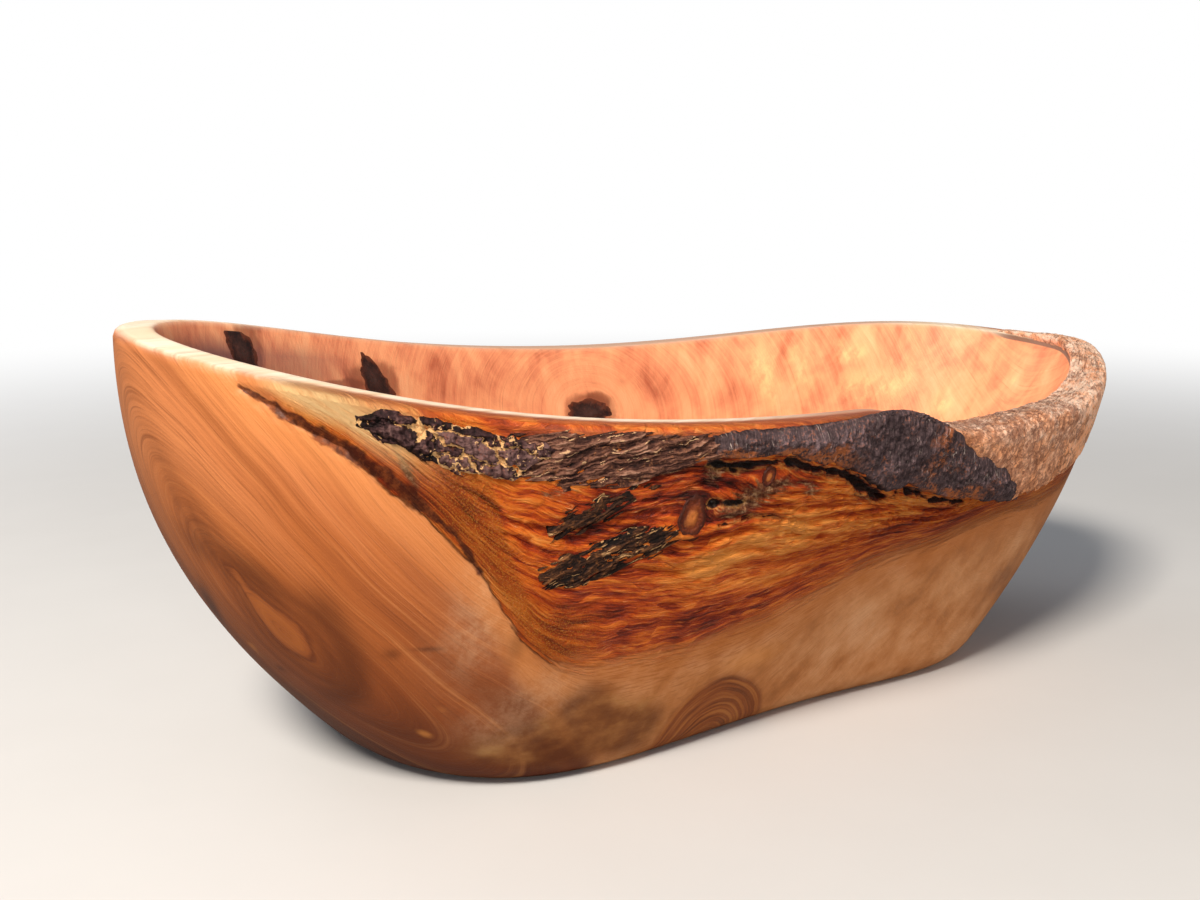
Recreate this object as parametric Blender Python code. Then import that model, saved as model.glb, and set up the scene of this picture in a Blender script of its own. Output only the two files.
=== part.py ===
"""Live-edge olive wood fruit bowl, hollowed from one half log.

Metres, +Z up. The flat foot rests on Z = 0, the long axis runs along X and the
live edge with its bark faces -Y. Angles are in degrees and run from the right
end (+X) through the back (+Y), the left end (-X) and the front (-Y).
"""

import math

import bmesh
import bpy
from mathutils import Vector

# Whole bowl, bark and cork included
LENGTH = 0.320
WIDTH = 0.158
CLEARANCE = 0.0003
SEGMENTS = 120

# Rim height of the wood every 30 degrees, from the right end round by the back
RIM_HEIGHTS = (
    0.0869,
    0.0897,
    0.0870,
    0.0862,
    0.0955,
    0.1060,
    0.1070,
    0.0993,
    0.0888,
    0.0853,
    0.0850,
    0.0860,
)
# Low stretch of the rim beside the thick bark: where it falls and where it rises again
NOTCH_DEPTH = 0.0098
NOTCH_START = 268.0
NOTCH_FALL = 17.0
NOTCH_END = 346.0
NOTCH_RISE = 40.0

# Foot outline: reach from the middle, and how far its corners are filled out
FOOT_RIGHT = 0.0847
FOOT_LEFT = 0.108
FOOT_FRONT = 0.0456
FOOT_BACK = 0.048
FOOT_FULLNESS = 0.865
FOOT_ROUND_HEIGHT = 0.006
FOOT_ROUND_WIDTH = 0.0036

# Outer wall: 1 is a straight flare, higher is rounder; ends drawn in at the rim
BELLY_RIGHT = 1.24
BELLY_LEFT = 2.17
BELLY_FRONT = 1.32
BELLY_BACK = 1.78
END_POINT_LEFT = 0.125
END_POINT_RIGHT = -0.03
WALL_RINGS = 10

# Rim width and edge rounding
RIM_WIDTH_RIGHT = 0.0115
RIM_WIDTH_LEFT = 0.0095
RIM_WIDTH_FRONT = 0.0090
RIM_WIDTH_BACK = 0.0095
RIM_ROUND = 0.0018
RIM_STEPS = (0.0, 0.05, 0.18, 0.5, 0.82, 0.95)

# Hollow: floor thickness, and how steeply its sides stand (higher is steeper)
FLOOR = 0.016
HOLLOW_RIGHT = 3.0
HOLLOW_LEFT = 4.5
HOLLOW_FRONT = 3.2
HOLLOW_BACK = 3.2
HOLLOW_RINGS = 10

# Bark and cork left on the outside
BARK_THICKNESS = 0.0032
BARK_STRIP_THICKNESS = 0.0018
BARK_SLIVER_THICKNESS = 0.0014
BARK_PLATE_LEFT_THICKNESS = 0.0022
CORK_THICKNESS = 0.0026
BARK_EDGE_SHARE = 0.35
BARK_RELIEF = 0.16
BARK_WRAP_STEPS = (0.2, 0.55, 1.0)
SEAM = 0.012

# Bark outlines: (angle, lower edge, upper edge). 1 is the top of the outer wall, and
# what is above 1 goes over the rim by that share of its width.
LEFT_PLATE = (
    (218.5, 0.955, 0.985),
    (222.5, 0.935, 1.000),
    (226.5, 0.903, 1.020),
    (231.5, 0.890, 1.020),
    (234.0, 0.935, 1.000),
)
MIDDLE_STRIP = (
    (234.8, 0.930, 0.985),
    (238.0, 0.880, 1.005),
    (245.0, 0.905, 1.010),
    (252.0, 0.945, 1.000),
)
RIGHT_PLATE = (
    (253.0, 0.955, 1.050),
    (256.5, 0.930, 1.250),
    (262.0, 0.893, 1.300),
    (268.0, 0.850, 1.300),
    (273.0, 0.818, 1.300),
    (277.0, 0.808, 1.100),
    (280.5, 0.803, 1.000),
    (284.0, 0.795, 0.955),
    (290.0, 0.755, 0.862),
    (297.5, 0.690, 0.725),
)
UPPER_SLIVER = (
    (236.7, 0.745, 0.775),
    (240.0, 0.765, 0.820),
    (244.3, 0.820, 0.852),
)
LOWER_SLIVER = (
    (234.8, 0.615, 0.645),
    (238.7, 0.613, 0.705),
    (243.0, 0.650, 0.728),
    (247.0, 0.715, 0.740),
)
# Cork: (angle, lower edge) and the shares of the rim's width that it runs over
CORK_EDGE = (
    (282.0, 0.985),
    (284.0, 0.962),
    (290.0, 0.870),
    (297.5, 0.745),
    (312.0, 0.765),
    (330.0, 0.800),
    (350.0, 0.860),
    (366.0, 0.940),
)
CORK_ACROSS = (0.0, 0.06, 0.2, 0.5, 0.8)
CORK_ROWS = 5

# Plugs: (angle, height share, half width and half height in metres)
PLUG_DEPTH = 0.0026
PLUG_POINTS = 16
KNOT_LOWER = (249.7, 0.775, 0.0062, 0.0045)
KNOT_UPPER = (257.3, 0.870, 0.0028, 0.0026)
INCLUSION_LEFT = (143.0, 0.972, 0.0045, 0.0062)
INCLUSION_CENTRE = (120.5, 0.962, 0.0056, 0.0074)
INCLUSION_BACK = (86.8, 0.902, 0.0105, 0.0055)

FRONT_REACH = WIDTH / 2 - BARK_THICKNESS - CLEARANCE
BACK_REACH = WIDTH / 2
LEFT_REACH = LENGTH / 2
RIGHT_REACH = LENGTH / 2 - CORK_THICKNESS - CLEARANCE


def eased(part):
    """0 to 1 with a soft start and end."""
    part = min(max(part, 0.0), 1.0)
    return part * part * (3 - 2 * part)


def rim_reference(angle):
    """Rim height before the notch: a smooth wave through the measured heights."""
    count = len(RIM_HEIGHTS)
    total = 0.0
    for index, height in enumerate(RIM_HEIGHTS):
        turn = math.radians(angle) - index * math.tau / count
        waves = sum(2 * math.cos(n * turn) for n in range(1, count // 2))
        total += height * (1 + waves + math.cos(turn * count / 2)) / count
    return total


def rim_height(angle):
    """Rim height of the wood at an angle."""
    angle = angle % 360
    fall = eased((angle - NOTCH_START) / NOTCH_FALL)
    rise = eased((NOTCH_END - angle) / NOTCH_RISE)
    return rim_reference(angle) - NOTCH_DEPTH * fall * rise


def oval(angle, reach_x, reach_y, fullness, height):
    """A point of one oval ring; fullness above 0 fills its corners out."""
    cosine = math.cos(math.radians(angle))
    sine = math.sin(math.radians(angle))
    return Vector((reach_x * cosine, reach_y * sine * (1 + fullness * cosine**2), height))


def quarter(angle, right, back, left, front):
    """The end value and the side value that belong to an angle."""
    end = right if math.cos(math.radians(angle)) > 0 else left
    side = back if math.sin(math.radians(angle)) > 0 else front
    return end, side


def outer(angle, height):
    """A point of the outer wall at a height."""
    share = min(height / (rim_reference(angle) - RIM_ROUND), 1.0)
    foot = quarter(angle, FOOT_RIGHT, FOOT_BACK, FOOT_LEFT, FOOT_FRONT)
    rim = quarter(angle, RIGHT_REACH, BACK_REACH, LEFT_REACH, FRONT_REACH)
    belly = quarter(angle, BELLY_RIGHT, BELLY_BACK, BELLY_LEFT, BELLY_FRONT)
    rise = max(0.0, 1 - height / FOOT_ROUND_HEIGHT)
    tuck = FOOT_ROUND_WIDTH * (1 - math.sqrt(1 - rise**2))
    reach = [a + (b - a) * (1 - (1 - share) ** p) - tuck for a, b, p in zip(foot, rim, belly)]
    point = quarter(angle, END_POINT_RIGHT, 0.0, END_POINT_LEFT, 0.0)[0]
    fullness = FOOT_FULLNESS - (FOOT_FULLNESS + point) * share
    return oval(angle, reach[0], reach[1], fullness, height)


def inner(angle, share):
    """A point of the hollow; share runs from 0 at its middle to 1 at the rim."""
    top = rim_height(angle) - RIM_ROUND
    edge = outer(angle, top)
    width = quarter(angle, RIM_WIDTH_RIGHT, RIM_WIDTH_BACK, RIM_WIDTH_LEFT, RIM_WIDTH_FRONT)
    steep = quarter(angle, HOLLOW_RIGHT, HOLLOW_BACK, HOLLOW_LEFT, HOLLOW_FRONT)
    cosine = math.cos(math.radians(angle))
    sine = math.sin(math.radians(angle))
    power = steep[0] * cosine**2 + steep[1] * sine**2
    x = (edge.x - width[0] * cosine) * share
    y = (edge.y - width[1] * sine) * share
    return Vector((x, y, FLOOR + (top - FLOOR) * share**power))


def over_rim(angle, across):
    """A point of the rim; across runs from 0 at the outer wall to 1 at the hollow."""
    start = outer(angle, rim_height(angle) - RIM_ROUND)
    end = inner(angle, 1.0)
    point = start.lerp(end, across)
    near = min(across, 1 - across) * (end - start).length
    bend = max(0.0, 1 - near / RIM_ROUND)
    point.z += RIM_ROUND * math.sqrt(1 - bend**2)
    return point


def outside(angle, share):
    """A point of the outer wall, from 0 at the foot to 1 at its top and on over the rim."""
    if share > 1:
        return over_rim(angle, share - 1)
    return outer(angle, share * (rim_height(angle) - RIM_ROUND))


def raised(surface, angle, share, offset, facing=1.0):
    """A point of a surface moved off it along its normal."""
    step = 0.002
    here = surface(angle, share)
    along = surface(angle + 90 * step, share) - surface(angle - 90 * step, share)
    up = surface(angle, share + step) - surface(angle, share - step)
    return here + along.cross(up).normalized() * offset * facing


def between(stations, angle, column):
    """One edge of an outline at an angle, eased between its stations."""
    if angle <= stations[0][0]:
        return stations[0][column]
    for first, second in zip(stations, stations[1:]):
        if angle <= second[0]:
            part = eased((angle - first[0]) / (second[0] - first[0]))
            return first[column] + (second[column] - first[column]) * part
    return stations[-1][column]


def paint(name, colour, roughness):
    """A plain finish."""
    finish = bpy.data.materials.new(name)
    finish.use_nodes = True
    shader = finish.node_tree.nodes["Principled BSDF"]
    shader.inputs["Base Color"].default_value = (*colour, 1.0)
    shader.inputs["Roughness"].default_value = roughness
    shader.inputs["Metallic"].default_value = 0.0
    return finish


def place(mesh, name, finish):
    """Turn a finished mesh into a smooth-shaded object of the scene."""
    bmesh.ops.recalc_face_normals(mesh, faces=mesh.faces)
    data = bpy.data.meshes.new(name)
    mesh.to_mesh(data)
    mesh.free()
    data.materials.append(finish)
    data.shade_smooth()
    thing = bpy.data.objects.new(name, data)
    bpy.context.scene.collection.objects.link(thing)
    return thing


def grow(mesh, ring, points):
    """Extrude a closed ring of vertices to new points; returns the new ring."""
    edges = [mesh.edges.get((ring[i - 1], vertex)) for i, vertex in enumerate(ring)]
    made = set(bmesh.ops.extrude_edge_only(mesh, edges=edges)["geom"])
    grown = []
    for vertex, point in zip(ring, points):
        partner = next(e.other_vert(vertex) for e in vertex.link_edges if e.other_vert(vertex) in made)
        grown.append(partner)
        partner.co = point
    return grown


def make_body():
    """The carved bowl: one ring of the foot drawn up the wall, over the rim and down inside."""
    angles = [360 * index / SEGMENTS for index in range(SEGMENTS)]
    rings = []
    for height in (0.0, FOOT_ROUND_HEIGHT * 0.08, FOOT_ROUND_HEIGHT * 0.35):
        rings.append([outer(angle, height) for angle in angles])
    for index in range(WALL_RINGS):
        ring = []
        for angle in angles:
            span = rim_height(angle) - RIM_ROUND - FOOT_ROUND_HEIGHT
            ring.append(outer(angle, FOOT_ROUND_HEIGHT + span * index / WALL_RINGS))
        rings.append(ring)
    for across in RIM_STEPS:
        rings.append([over_rim(angle, across) for angle in angles])
    for index in range(HOLLOW_RINGS):
        share = math.sqrt(1 - index / HOLLOW_RINGS)
        rings.append([inner(angle, share) for angle in angles])
    mesh = bmesh.new()
    ring = bmesh.ops.create_circle(mesh, segments=SEGMENTS, radius=1, cap_ends=True)["verts"]
    for vertex, point in zip(ring, rings[0]):
        vertex.co = point
    for points in rings[1:]:
        ring = grow(mesh, ring, points)
    floor = bmesh.ops.contextual_create(mesh, geom=ring)["faces"]
    middle = bmesh.ops.poke(mesh, faces=floor)["verts"]
    middle[0].co = (0.0, 0.0, FLOOR)
    return place(mesh, "bowl_body", paint("olive_wood", (0.50, 0.23, 0.08), 0.42))


def make_sheet(name, columns, rows, spot, finish):
    """A closed sheet: a flat grid extruded once, both sides then laid by spot(column, row, side)."""
    mesh = bmesh.new()
    bmesh.ops.create_grid(mesh, x_segments=columns, y_segments=rows, size=0.5)
    made = bmesh.ops.extrude_face_region(mesh, geom=mesh.faces[:], use_keep_orig=True)["geom"]
    upper = {item for item in made if isinstance(item, bmesh.types.BMVert)}
    for vertex in mesh.verts:
        column = round((vertex.co.x + 0.5) * columns)
        row = round((vertex.co.y + 0.5) * rows)
        vertex.co = spot(column, row, vertex in upper)
    return place(mesh, name, finish)


def swell(part_along, part_up, thickness, phase):
    """Bark thickness: thin at the edges, uneven in between."""
    arch = (4 * part_along * (1 - part_along)) ** 0.25 * (4 * part_up * (1 - part_up)) ** 0.5
    wave = math.sin(17 * part_along + phase) * math.cos(7 * part_up + 3 * part_along)
    share = BARK_EDGE_SHARE + (1 - BARK_EDGE_SHARE) * arch * (1 - BARK_RELIEF * (0.5 + 0.5 * wave))
    return thickness * share


def row_share(low, high, row, rows):
    """Where a row of a bark plate lies between its edges, with a row on the wall's top."""
    wall_rows = rows - len(BARK_WRAP_STEPS)
    if high <= 1:
        return low + (high - low) * row / rows
    if row <= wall_rows:
        return low + (1 - low) * row / wall_rows
    return 1 + (high - 1) * BARK_WRAP_STEPS[row - wall_rows - 1]


def make_bark(name, stations, thickness, columns, rows, phase, finish):
    """A plate of bark on the outer wall, between its outline's edges."""
    first = stations[0][0]
    last = stations[-1][0]

    def spot(column, row, top):
        along = column / columns
        angle = first + (last - first) * along
        share = row_share(between(stations, angle, 1), between(stations, angle, 2), row, rows)
        depth = swell(along, row / rows, thickness, phase) if top else 0.0
        return raised(outside, angle, share, CLEARANCE + depth)

    return make_sheet(name, columns, rows, spot, finish)


def make_cork(finish):
    """The corky bark that wraps the right end of the rim, on the body's own angles."""
    turn = 360 / SEGMENTS
    first = math.ceil(CORK_EDGE[0][0] / turn)
    columns = math.floor(CORK_EDGE[-1][0] / turn) - first
    rows = CORK_ROWS + len(CORK_ACROSS) - 1

    def spot(column, row, top):
        angle = (first + column) * turn
        low = between(CORK_EDGE, angle, 1) + SEAM
        share = low + (1 - low) * row / CORK_ROWS
        if row > CORK_ROWS:
            share = 1 + CORK_ACROSS[row - CORK_ROWS]
        depth = swell(column / columns, 0.12 + 0.76 * row / rows, CORK_THICKNESS, 1.3)
        return raised(outside, angle, share, CLEARANCE + (depth if top else 0.0))

    return make_sheet("bark_rim_end", columns, rows, spot, finish)


def plug_mesh(surface, facing, spot, grow_by, top, bottom):
    """A plug that follows a wall, from an offset above it to one below it."""
    angle, share, half_width, half_height = spot
    step = 0.01
    here = surface(angle, share)
    per_degree = (surface(angle + 1, share) - here).length
    per_share = (surface(angle, share + step) - here).length / step
    mesh = bmesh.new()
    bmesh.ops.create_circle(mesh, segments=PLUG_POINTS, radius=1, cap_ends=True, cap_tris=True)
    made = bmesh.ops.extrude_face_region(mesh, geom=mesh.faces[:], use_keep_orig=True)["geom"]
    upper = {item for item in made if isinstance(item, bmesh.types.BMVert)}
    for vertex in mesh.verts:
        uneven = 1 + 0.12 * math.sin(3 * math.atan2(vertex.co.y, vertex.co.x) + 0.6)
        across = (half_width * uneven + grow_by) * vertex.co.x / per_degree
        up = (half_height * uneven + grow_by) * vertex.co.y / per_share
        offset = top if vertex in upper else bottom
        vertex.co = raised(surface, angle + across, share + up, offset, facing)
    return mesh


def make_plug(name, body, surface, facing, spot, finish):
    """A knot or inclusion, and the socket that it fills."""
    plug = place(plug_mesh(surface, facing, spot, 0.0, 0.0, -PLUG_DEPTH), name, finish)
    socket = plug_mesh(surface, facing, spot, CLEARANCE, PLUG_DEPTH, -PLUG_DEPTH - CLEARANCE)
    cutter = place(socket, name + "_socket", finish)
    cutter.hide_render = True
    cutter.display_type = "WIRE"
    cut = body.modifiers.new(name, "BOOLEAN")
    cut.operation = "DIFFERENCE"
    cut.solver = "EXACT"
    cut.object = cutter
    return plug


def main():
    for thing in list(bpy.data.objects):
        bpy.data.objects.remove(thing, do_unlink=True)
    body = make_body()
    make_bark("bark_plate_left", LEFT_PLATE, BARK_PLATE_LEFT_THICKNESS, 10, 6, 0.4,
              paint("purple_bark", (0.06, 0.035, 0.03), 0.85))
    make_bark("bark_strip_middle", MIDDLE_STRIP, BARK_STRIP_THICKNESS, 10, 6, 1.1,
              paint("stringy_bark", (0.12, 0.055, 0.03), 0.85))
    make_bark("bark_plate_right", RIGHT_PLATE, BARK_THICKNESS, 22, 8, 2.2,
              paint("thick_bark", (0.05, 0.03, 0.025), 0.9))
    make_bark("bark_sliver_upper", UPPER_SLIVER, BARK_SLIVER_THICKNESS, 8, 3, 0.9,
              paint("sliver_bark", (0.09, 0.04, 0.025), 0.85))
    make_bark("bark_sliver_lower", LOWER_SLIVER, BARK_SLIVER_THICKNESS, 10, 3, 2.9,
              paint("lower_sliver_bark", (0.08, 0.038, 0.025), 0.85))
    make_cork(paint("cork", (0.30, 0.13, 0.05), 0.9))
    make_plug("pin_knot_lower", body, outside, 1.0, KNOT_LOWER,
              paint("knot_wood", (0.36, 0.15, 0.05), 0.5))
    make_plug("pin_knot_upper", body, outside, 1.0, KNOT_UPPER,
              paint("small_knot_wood", (0.33, 0.13, 0.05), 0.5))
    make_plug("inclusion_left", body, inner, -1.0, INCLUSION_LEFT,
              paint("left_inclusion", (0.06, 0.03, 0.025), 0.6))
    make_plug("inclusion_centre", body, inner, -1.0, INCLUSION_CENTRE,
              paint("centre_inclusion", (0.055, 0.025, 0.025), 0.6))
    make_plug("inclusion_back", body, inner, -1.0, INCLUSION_BACK,
              paint("back_inclusion", (0.06, 0.028, 0.025), 0.6))


main()
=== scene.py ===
"""Looks of the live-edge olive wood fruit bowl.

Metres, +Z up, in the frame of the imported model. Angles are in degrees and run from
the right end (+X) through the back (+Y), the left end (-X) and the front (-Y).
Shares run from 0 at the foot to 1 at the top of the outer wall, or from 0 in the
middle of the hollow to 1 at its edge.
"""

import logging
import math
from collections.abc import Callable, Sequence
from dataclasses import dataclass
from enum import Enum
from functools import reduce

import bmesh
import bpy
import numpy as np
from mathutils import Matrix, Vector


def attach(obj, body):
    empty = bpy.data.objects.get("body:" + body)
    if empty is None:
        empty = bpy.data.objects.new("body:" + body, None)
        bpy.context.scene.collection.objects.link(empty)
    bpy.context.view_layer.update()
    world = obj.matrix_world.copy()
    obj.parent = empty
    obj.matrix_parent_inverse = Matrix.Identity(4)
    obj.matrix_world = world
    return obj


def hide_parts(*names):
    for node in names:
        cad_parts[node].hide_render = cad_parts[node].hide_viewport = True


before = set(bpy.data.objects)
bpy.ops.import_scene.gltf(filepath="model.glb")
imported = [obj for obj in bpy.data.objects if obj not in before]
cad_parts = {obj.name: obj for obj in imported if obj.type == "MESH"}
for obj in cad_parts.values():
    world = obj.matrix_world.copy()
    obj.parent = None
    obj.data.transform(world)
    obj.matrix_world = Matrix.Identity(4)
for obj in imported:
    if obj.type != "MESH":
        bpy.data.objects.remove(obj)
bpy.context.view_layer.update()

CARRIER = "root"
MM = 1000.0

Array = np.ndarray
Surface = Callable[[Array, Array], Array]
Socket = bpy.types.NodeSocket
log = logging.getLogger("fruit_bowl")


# Small helpers


def tone(code: str) -> tuple[float, float, float, float]:
    """Turn a screen colour such as #c07a3e into the numbers that a shader takes.

    Args:
        code: the colour as # and six hex digits.

    Returns:
        Red, green, blue and 1, without the screen's gamma.
    """
    parts = [int(code[i : i + 2], 16) / 255 for i in (1, 3, 5)]
    flat = [p / 12.92 if p <= 0.04045 else ((p + 0.055) / 1.055) ** 2.4 for p in parts]
    return (flat[0], flat[1], flat[2], 1.0)


def smooth(low: float, high: float, value: Array) -> Array:
    """A soft step from 0 at low to 1 at high."""
    part = np.clip((np.asarray(value, float) - low) / (high - low), 0.0, 1.0)
    return part * part * (3 - 2 * part)


def matched(first: Array, second: Array) -> list[Array]:
    """Two values as arrays of one shape."""
    return np.broadcast_arrays(np.asarray(first, float), np.asarray(second, float))


# Large odd numbers that scatter a cell's column, its row, the seed and their mixture
COLUMN_SCATTER = 374761393
ROW_SCATTER = 668265263
SEED_SCATTER = 362437
MIXTURE_SCATTER = 1274126177
WORD = 0xFFFFFFFF
HALF_WORD = 0xFFFF


def hashed(column: Array, row: Array, seed: int) -> Array:
    """Even numbers from 0 to 1 that depend only on a cell and a seed.

    Args:
        column: the cell's column.
        row: the cell's row.
        seed: which set of numbers.

    Returns:
        A number for each cell.
    """
    mixed = column.astype(np.int64) * COLUMN_SCATTER + row.astype(np.int64) * ROW_SCATTER
    mixed = (mixed + seed * SEED_SCATTER) & WORD
    mixed = ((mixed ^ (mixed >> 13)) * MIXTURE_SCATTER) & WORD
    return ((mixed ^ (mixed >> 16)) & HALF_WORD) / HALF_WORD


def value_noise(x: Array, y: Array, seed: int) -> Array:
    """Soft random hills, one cell wide.

    Args:
        x: first coordinate, in cells.
        y: second coordinate, in cells.
        seed: which set of hills.

    Returns:
        Heights from 0 to 1.
    """
    x, y = matched(x, y)
    column, row = np.floor(x), np.floor(y)
    across, up = x - column, y - row
    across = across * across * (3 - 2 * across)
    up = up * up * (3 - 2 * up)
    low = hashed(column, row, seed) * (1 - across) + hashed(column + 1, row, seed) * across
    high = hashed(column, row + 1, seed) * (1 - across) + hashed(column + 1, row + 1, seed) * across
    return low * (1 - up) + high * up


# Each finer size of hills is this much lower than the one before it, and has its own seed
OCTAVE_FADE = 0.55
OCTAVE_SEED = 17


def hills(x: Array, y: Array, seed: int, octaves: int = 4) -> Array:
    """Random hills with finer ones on them.

    Args:
        x: first coordinate, in cells of the widest hills.
        y: second coordinate.
        seed: which set of hills.
        octaves: how many sizes are added up.

    Returns:
        Heights from 0 to 1, about 0.5 on average.
    """
    total, weight, size = 0.0, 0.0, 1.0
    for octave in range(octaves):
        finer = 2**octave
        total = total + size * value_noise(x * finer, y * finer, seed + OCTAVE_SEED * octave)
        weight += size
        size *= OCTAVE_FADE
    return total / weight


def ripple(x: Array, y: Array, seed: int, octaves: int = 4) -> Array:
    """The same hills as heights about 0."""
    return hills(x, y, seed, octaves) - 0.5


def cells(x: Array, y: Array, seed: int) -> tuple[Array, Array]:
    """Irregular cells, as of scales or dried mud.

    Args:
        x: first coordinate, in cells.
        y: second coordinate, in cells.
        seed: which set of cells.

    Returns:
        The distance from the nearest border, and a random number for each cell.
    """
    x, y = matched(x, y)
    column, row = np.floor(x), np.floor(y)
    first = np.full(x.shape, 9.0)
    second = np.full(x.shape, 9.0)
    owner = np.zeros(x.shape)
    for step in range(9):
        c, r = column + step % 3 - 1, row + step // 3 - 1
        away = np.hypot(c + hashed(c, r, seed) - x, r + hashed(c, r, seed + 1) - y)
        nearer = away < first
        second = np.where(nearer, first, np.minimum(second, away))
        owner = np.where(nearer, hashed(c, r, seed + 2), owner)
        first = np.where(nearer, away, first)
    return second - first, owner


# The wall


class Side(Enum):
    """Which face of the wall a row of the bowl lies on."""

    FOOT = "foot"
    OUTER = "outer"
    RIM = "rim"
    INNER = "inner"


@dataclass(frozen=True)
class WallForm:
    """The formula of the wall, with the sizes of the solid model."""

    length: float = 0.320
    width: float = 0.158
    gap: float = 0.0003
    rim_heights: tuple[float, ...] = (
        0.0869, 0.0897, 0.0870, 0.0862, 0.0955, 0.1060,
        0.1070, 0.0993, 0.0888, 0.0853, 0.0850, 0.0860,
    )
    notch_depth: float = 0.0098
    notch_start: float = 268.0
    notch_fall: float = 17.0
    notch_end: float = 346.0
    notch_rise: float = 40.0
    foot_right: float = 0.0847
    foot_left: float = 0.108
    foot_front: float = 0.0456
    foot_back: float = 0.048
    foot_fullness: float = 0.865
    foot_round_height: float = 0.006
    foot_round_width: float = 0.0036
    belly_right: float = 1.24
    belly_left: float = 2.17
    belly_front: float = 1.32
    belly_back: float = 1.78
    point_left: float = 0.125
    point_right: float = -0.03
    rim_right: float = 0.0115
    rim_left: float = 0.0095
    rim_front: float = 0.0090
    rim_back: float = 0.0095
    rim_round: float = 0.0018
    floor: float = 0.016
    hollow_right: float = 3.0
    hollow_left: float = 4.5
    hollow_front: float = 3.2
    hollow_back: float = 3.2
    bark: float = 0.0032
    cork: float = 0.0026

    def rim_reference(self, angle: Array) -> Array:
        """Rim height before the notch, a smooth wave through the named heights.

        Args:
            angle: angles round the bowl.

        Returns:
            The heights.
        """
        count = len(self.rim_heights)
        total = 0.0
        for index, height in enumerate(self.rim_heights):
            turn = np.radians(angle) - index * math.tau / count
            waves = sum(2 * np.cos(n * turn) for n in range(1, count // 2))
            total = total + height * (1 + waves + np.cos(turn * count / 2)) / count
        return total

    def rim_height(self, angle: Array) -> Array:
        """Rim height of the wood at an angle.

        Args:
            angle: angles round the bowl.

        Returns:
            The heights.
        """
        turn = np.asarray(angle, float) % 360
        fall = smooth(0, 1, (turn - self.notch_start) / self.notch_fall)
        rise = smooth(0, 1, (self.notch_end - turn) / self.notch_rise)
        return self.rim_reference(angle) - self.notch_depth * fall * rise

    def outer(self, angle: Array, height: Array) -> Array:
        """Points of the outer wall.

        Args:
            angle: angles round the bowl.
            height: heights over the table.

        Returns:
            One point for each angle, in the last axis.
        """
        angle, height = matched(angle, height)
        cosine, sine = np.cos(np.radians(angle)), np.sin(np.radians(angle))
        right, back = cosine > 0, sine > 0
        share = np.minimum(height / (self.rim_reference(angle) - self.rim_round), 1.0)
        rise = np.maximum(0.0, 1 - height / self.foot_round_height)
        tuck = self.foot_round_width * (1 - np.sqrt(np.maximum(0.0, 1 - rise**2)))
        foot_x = np.where(right, self.foot_right, self.foot_left)
        foot_y = np.where(back, self.foot_back, self.foot_front)
        rim_x = np.where(right, self.length / 2 - self.cork - self.gap, self.length / 2)
        rim_y = np.where(back, self.width / 2, self.width / 2 - self.bark - self.gap)
        belly_x = np.where(right, self.belly_right, self.belly_left)
        belly_y = np.where(back, self.belly_back, self.belly_front)
        reach_x = foot_x + (rim_x - foot_x) * (1 - (1 - share) ** belly_x) - tuck
        reach_y = foot_y + (rim_y - foot_y) * (1 - (1 - share) ** belly_y) - tuck
        point = np.where(right, self.point_right, self.point_left)
        full = self.foot_fullness - (self.foot_fullness + point) * share
        return np.stack([reach_x * cosine, reach_y * sine * (1 + full * cosine**2), height], -1)

    def inner(self, angle: Array, share: Array) -> Array:
        """Points of the hollow; share runs from 0 at its middle to 1 at the rim.

        Args:
            angle: angles round the bowl.
            share: shares of the hollow.

        Returns:
            The points, in the last axis.
        """
        angle, share = matched(angle, share)
        top = self.rim_height(angle) - self.rim_round
        edge = self.outer(angle, top)
        cosine, sine = np.cos(np.radians(angle)), np.sin(np.radians(angle))
        right, back = cosine > 0, sine > 0
        steep_x = np.where(right, self.hollow_right, self.hollow_left)
        steep_y = np.where(back, self.hollow_back, self.hollow_front)
        power = steep_x * cosine**2 + steep_y * sine**2
        x = (edge[..., 0] - np.where(right, self.rim_right, self.rim_left) * cosine) * share
        y = (edge[..., 1] - np.where(back, self.rim_back, self.rim_front) * sine) * share
        return np.stack([x, y, self.floor + (top - self.floor) * share**power], -1)

    def over_rim(self, angle: Array, across: Array) -> Array:
        """Points of the rim; across runs from 0 at the outer wall to 1 at the hollow.

        Args:
            angle: angles round the bowl.
            across: shares of the rim's width.

        Returns:
            The points, in the last axis.
        """
        angle, across = matched(angle, across)
        start = self.outer(angle, self.rim_height(angle) - self.rim_round)
        end = self.inner(angle, np.ones_like(angle))
        point = start + (end - start) * across[..., None]
        near = np.minimum(across, 1 - across) * np.linalg.norm(end - start, axis=-1)
        bend = np.clip(1 - near / self.rim_round, 0.0, 1.0)
        point[..., 2] += self.rim_round * np.sqrt(1 - bend**2)
        return point

    def outside(self, angle: Array, share: Array) -> Array:
        """Points of the outer wall, from 0 at the foot to 1 at its top and on over the rim.

        Args:
            angle: angles round the bowl.
            share: shares of the wall.

        Returns:
            The points, in the last axis.
        """
        angle, share = matched(angle, share)
        wall = self.outer(angle, np.clip(share, 0, 1) * (self.rim_height(angle) - self.rim_round))
        rim = self.over_rim(angle, np.maximum(share - 1, 0.0))
        return np.where((share > 1)[..., None], rim, wall)

    def facing(self, surface: Surface, angle: Array, share: Array) -> Array:
        """Unit normals of one of the surfaces, on the side that angle cross share points to.

        Args:
            surface: the surface.
            angle: angles round the bowl.
            share: shares of it.

        Returns:
            The normals, in the last axis.
        """
        step = 0.004
        along = surface(angle + 90 * step, share) - surface(angle - 90 * step, share)
        up = surface(angle, share + step) - surface(angle, share - step)
        normal = np.cross(along, up)
        return normal / np.linalg.norm(normal, axis=-1, keepdims=True)


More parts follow.
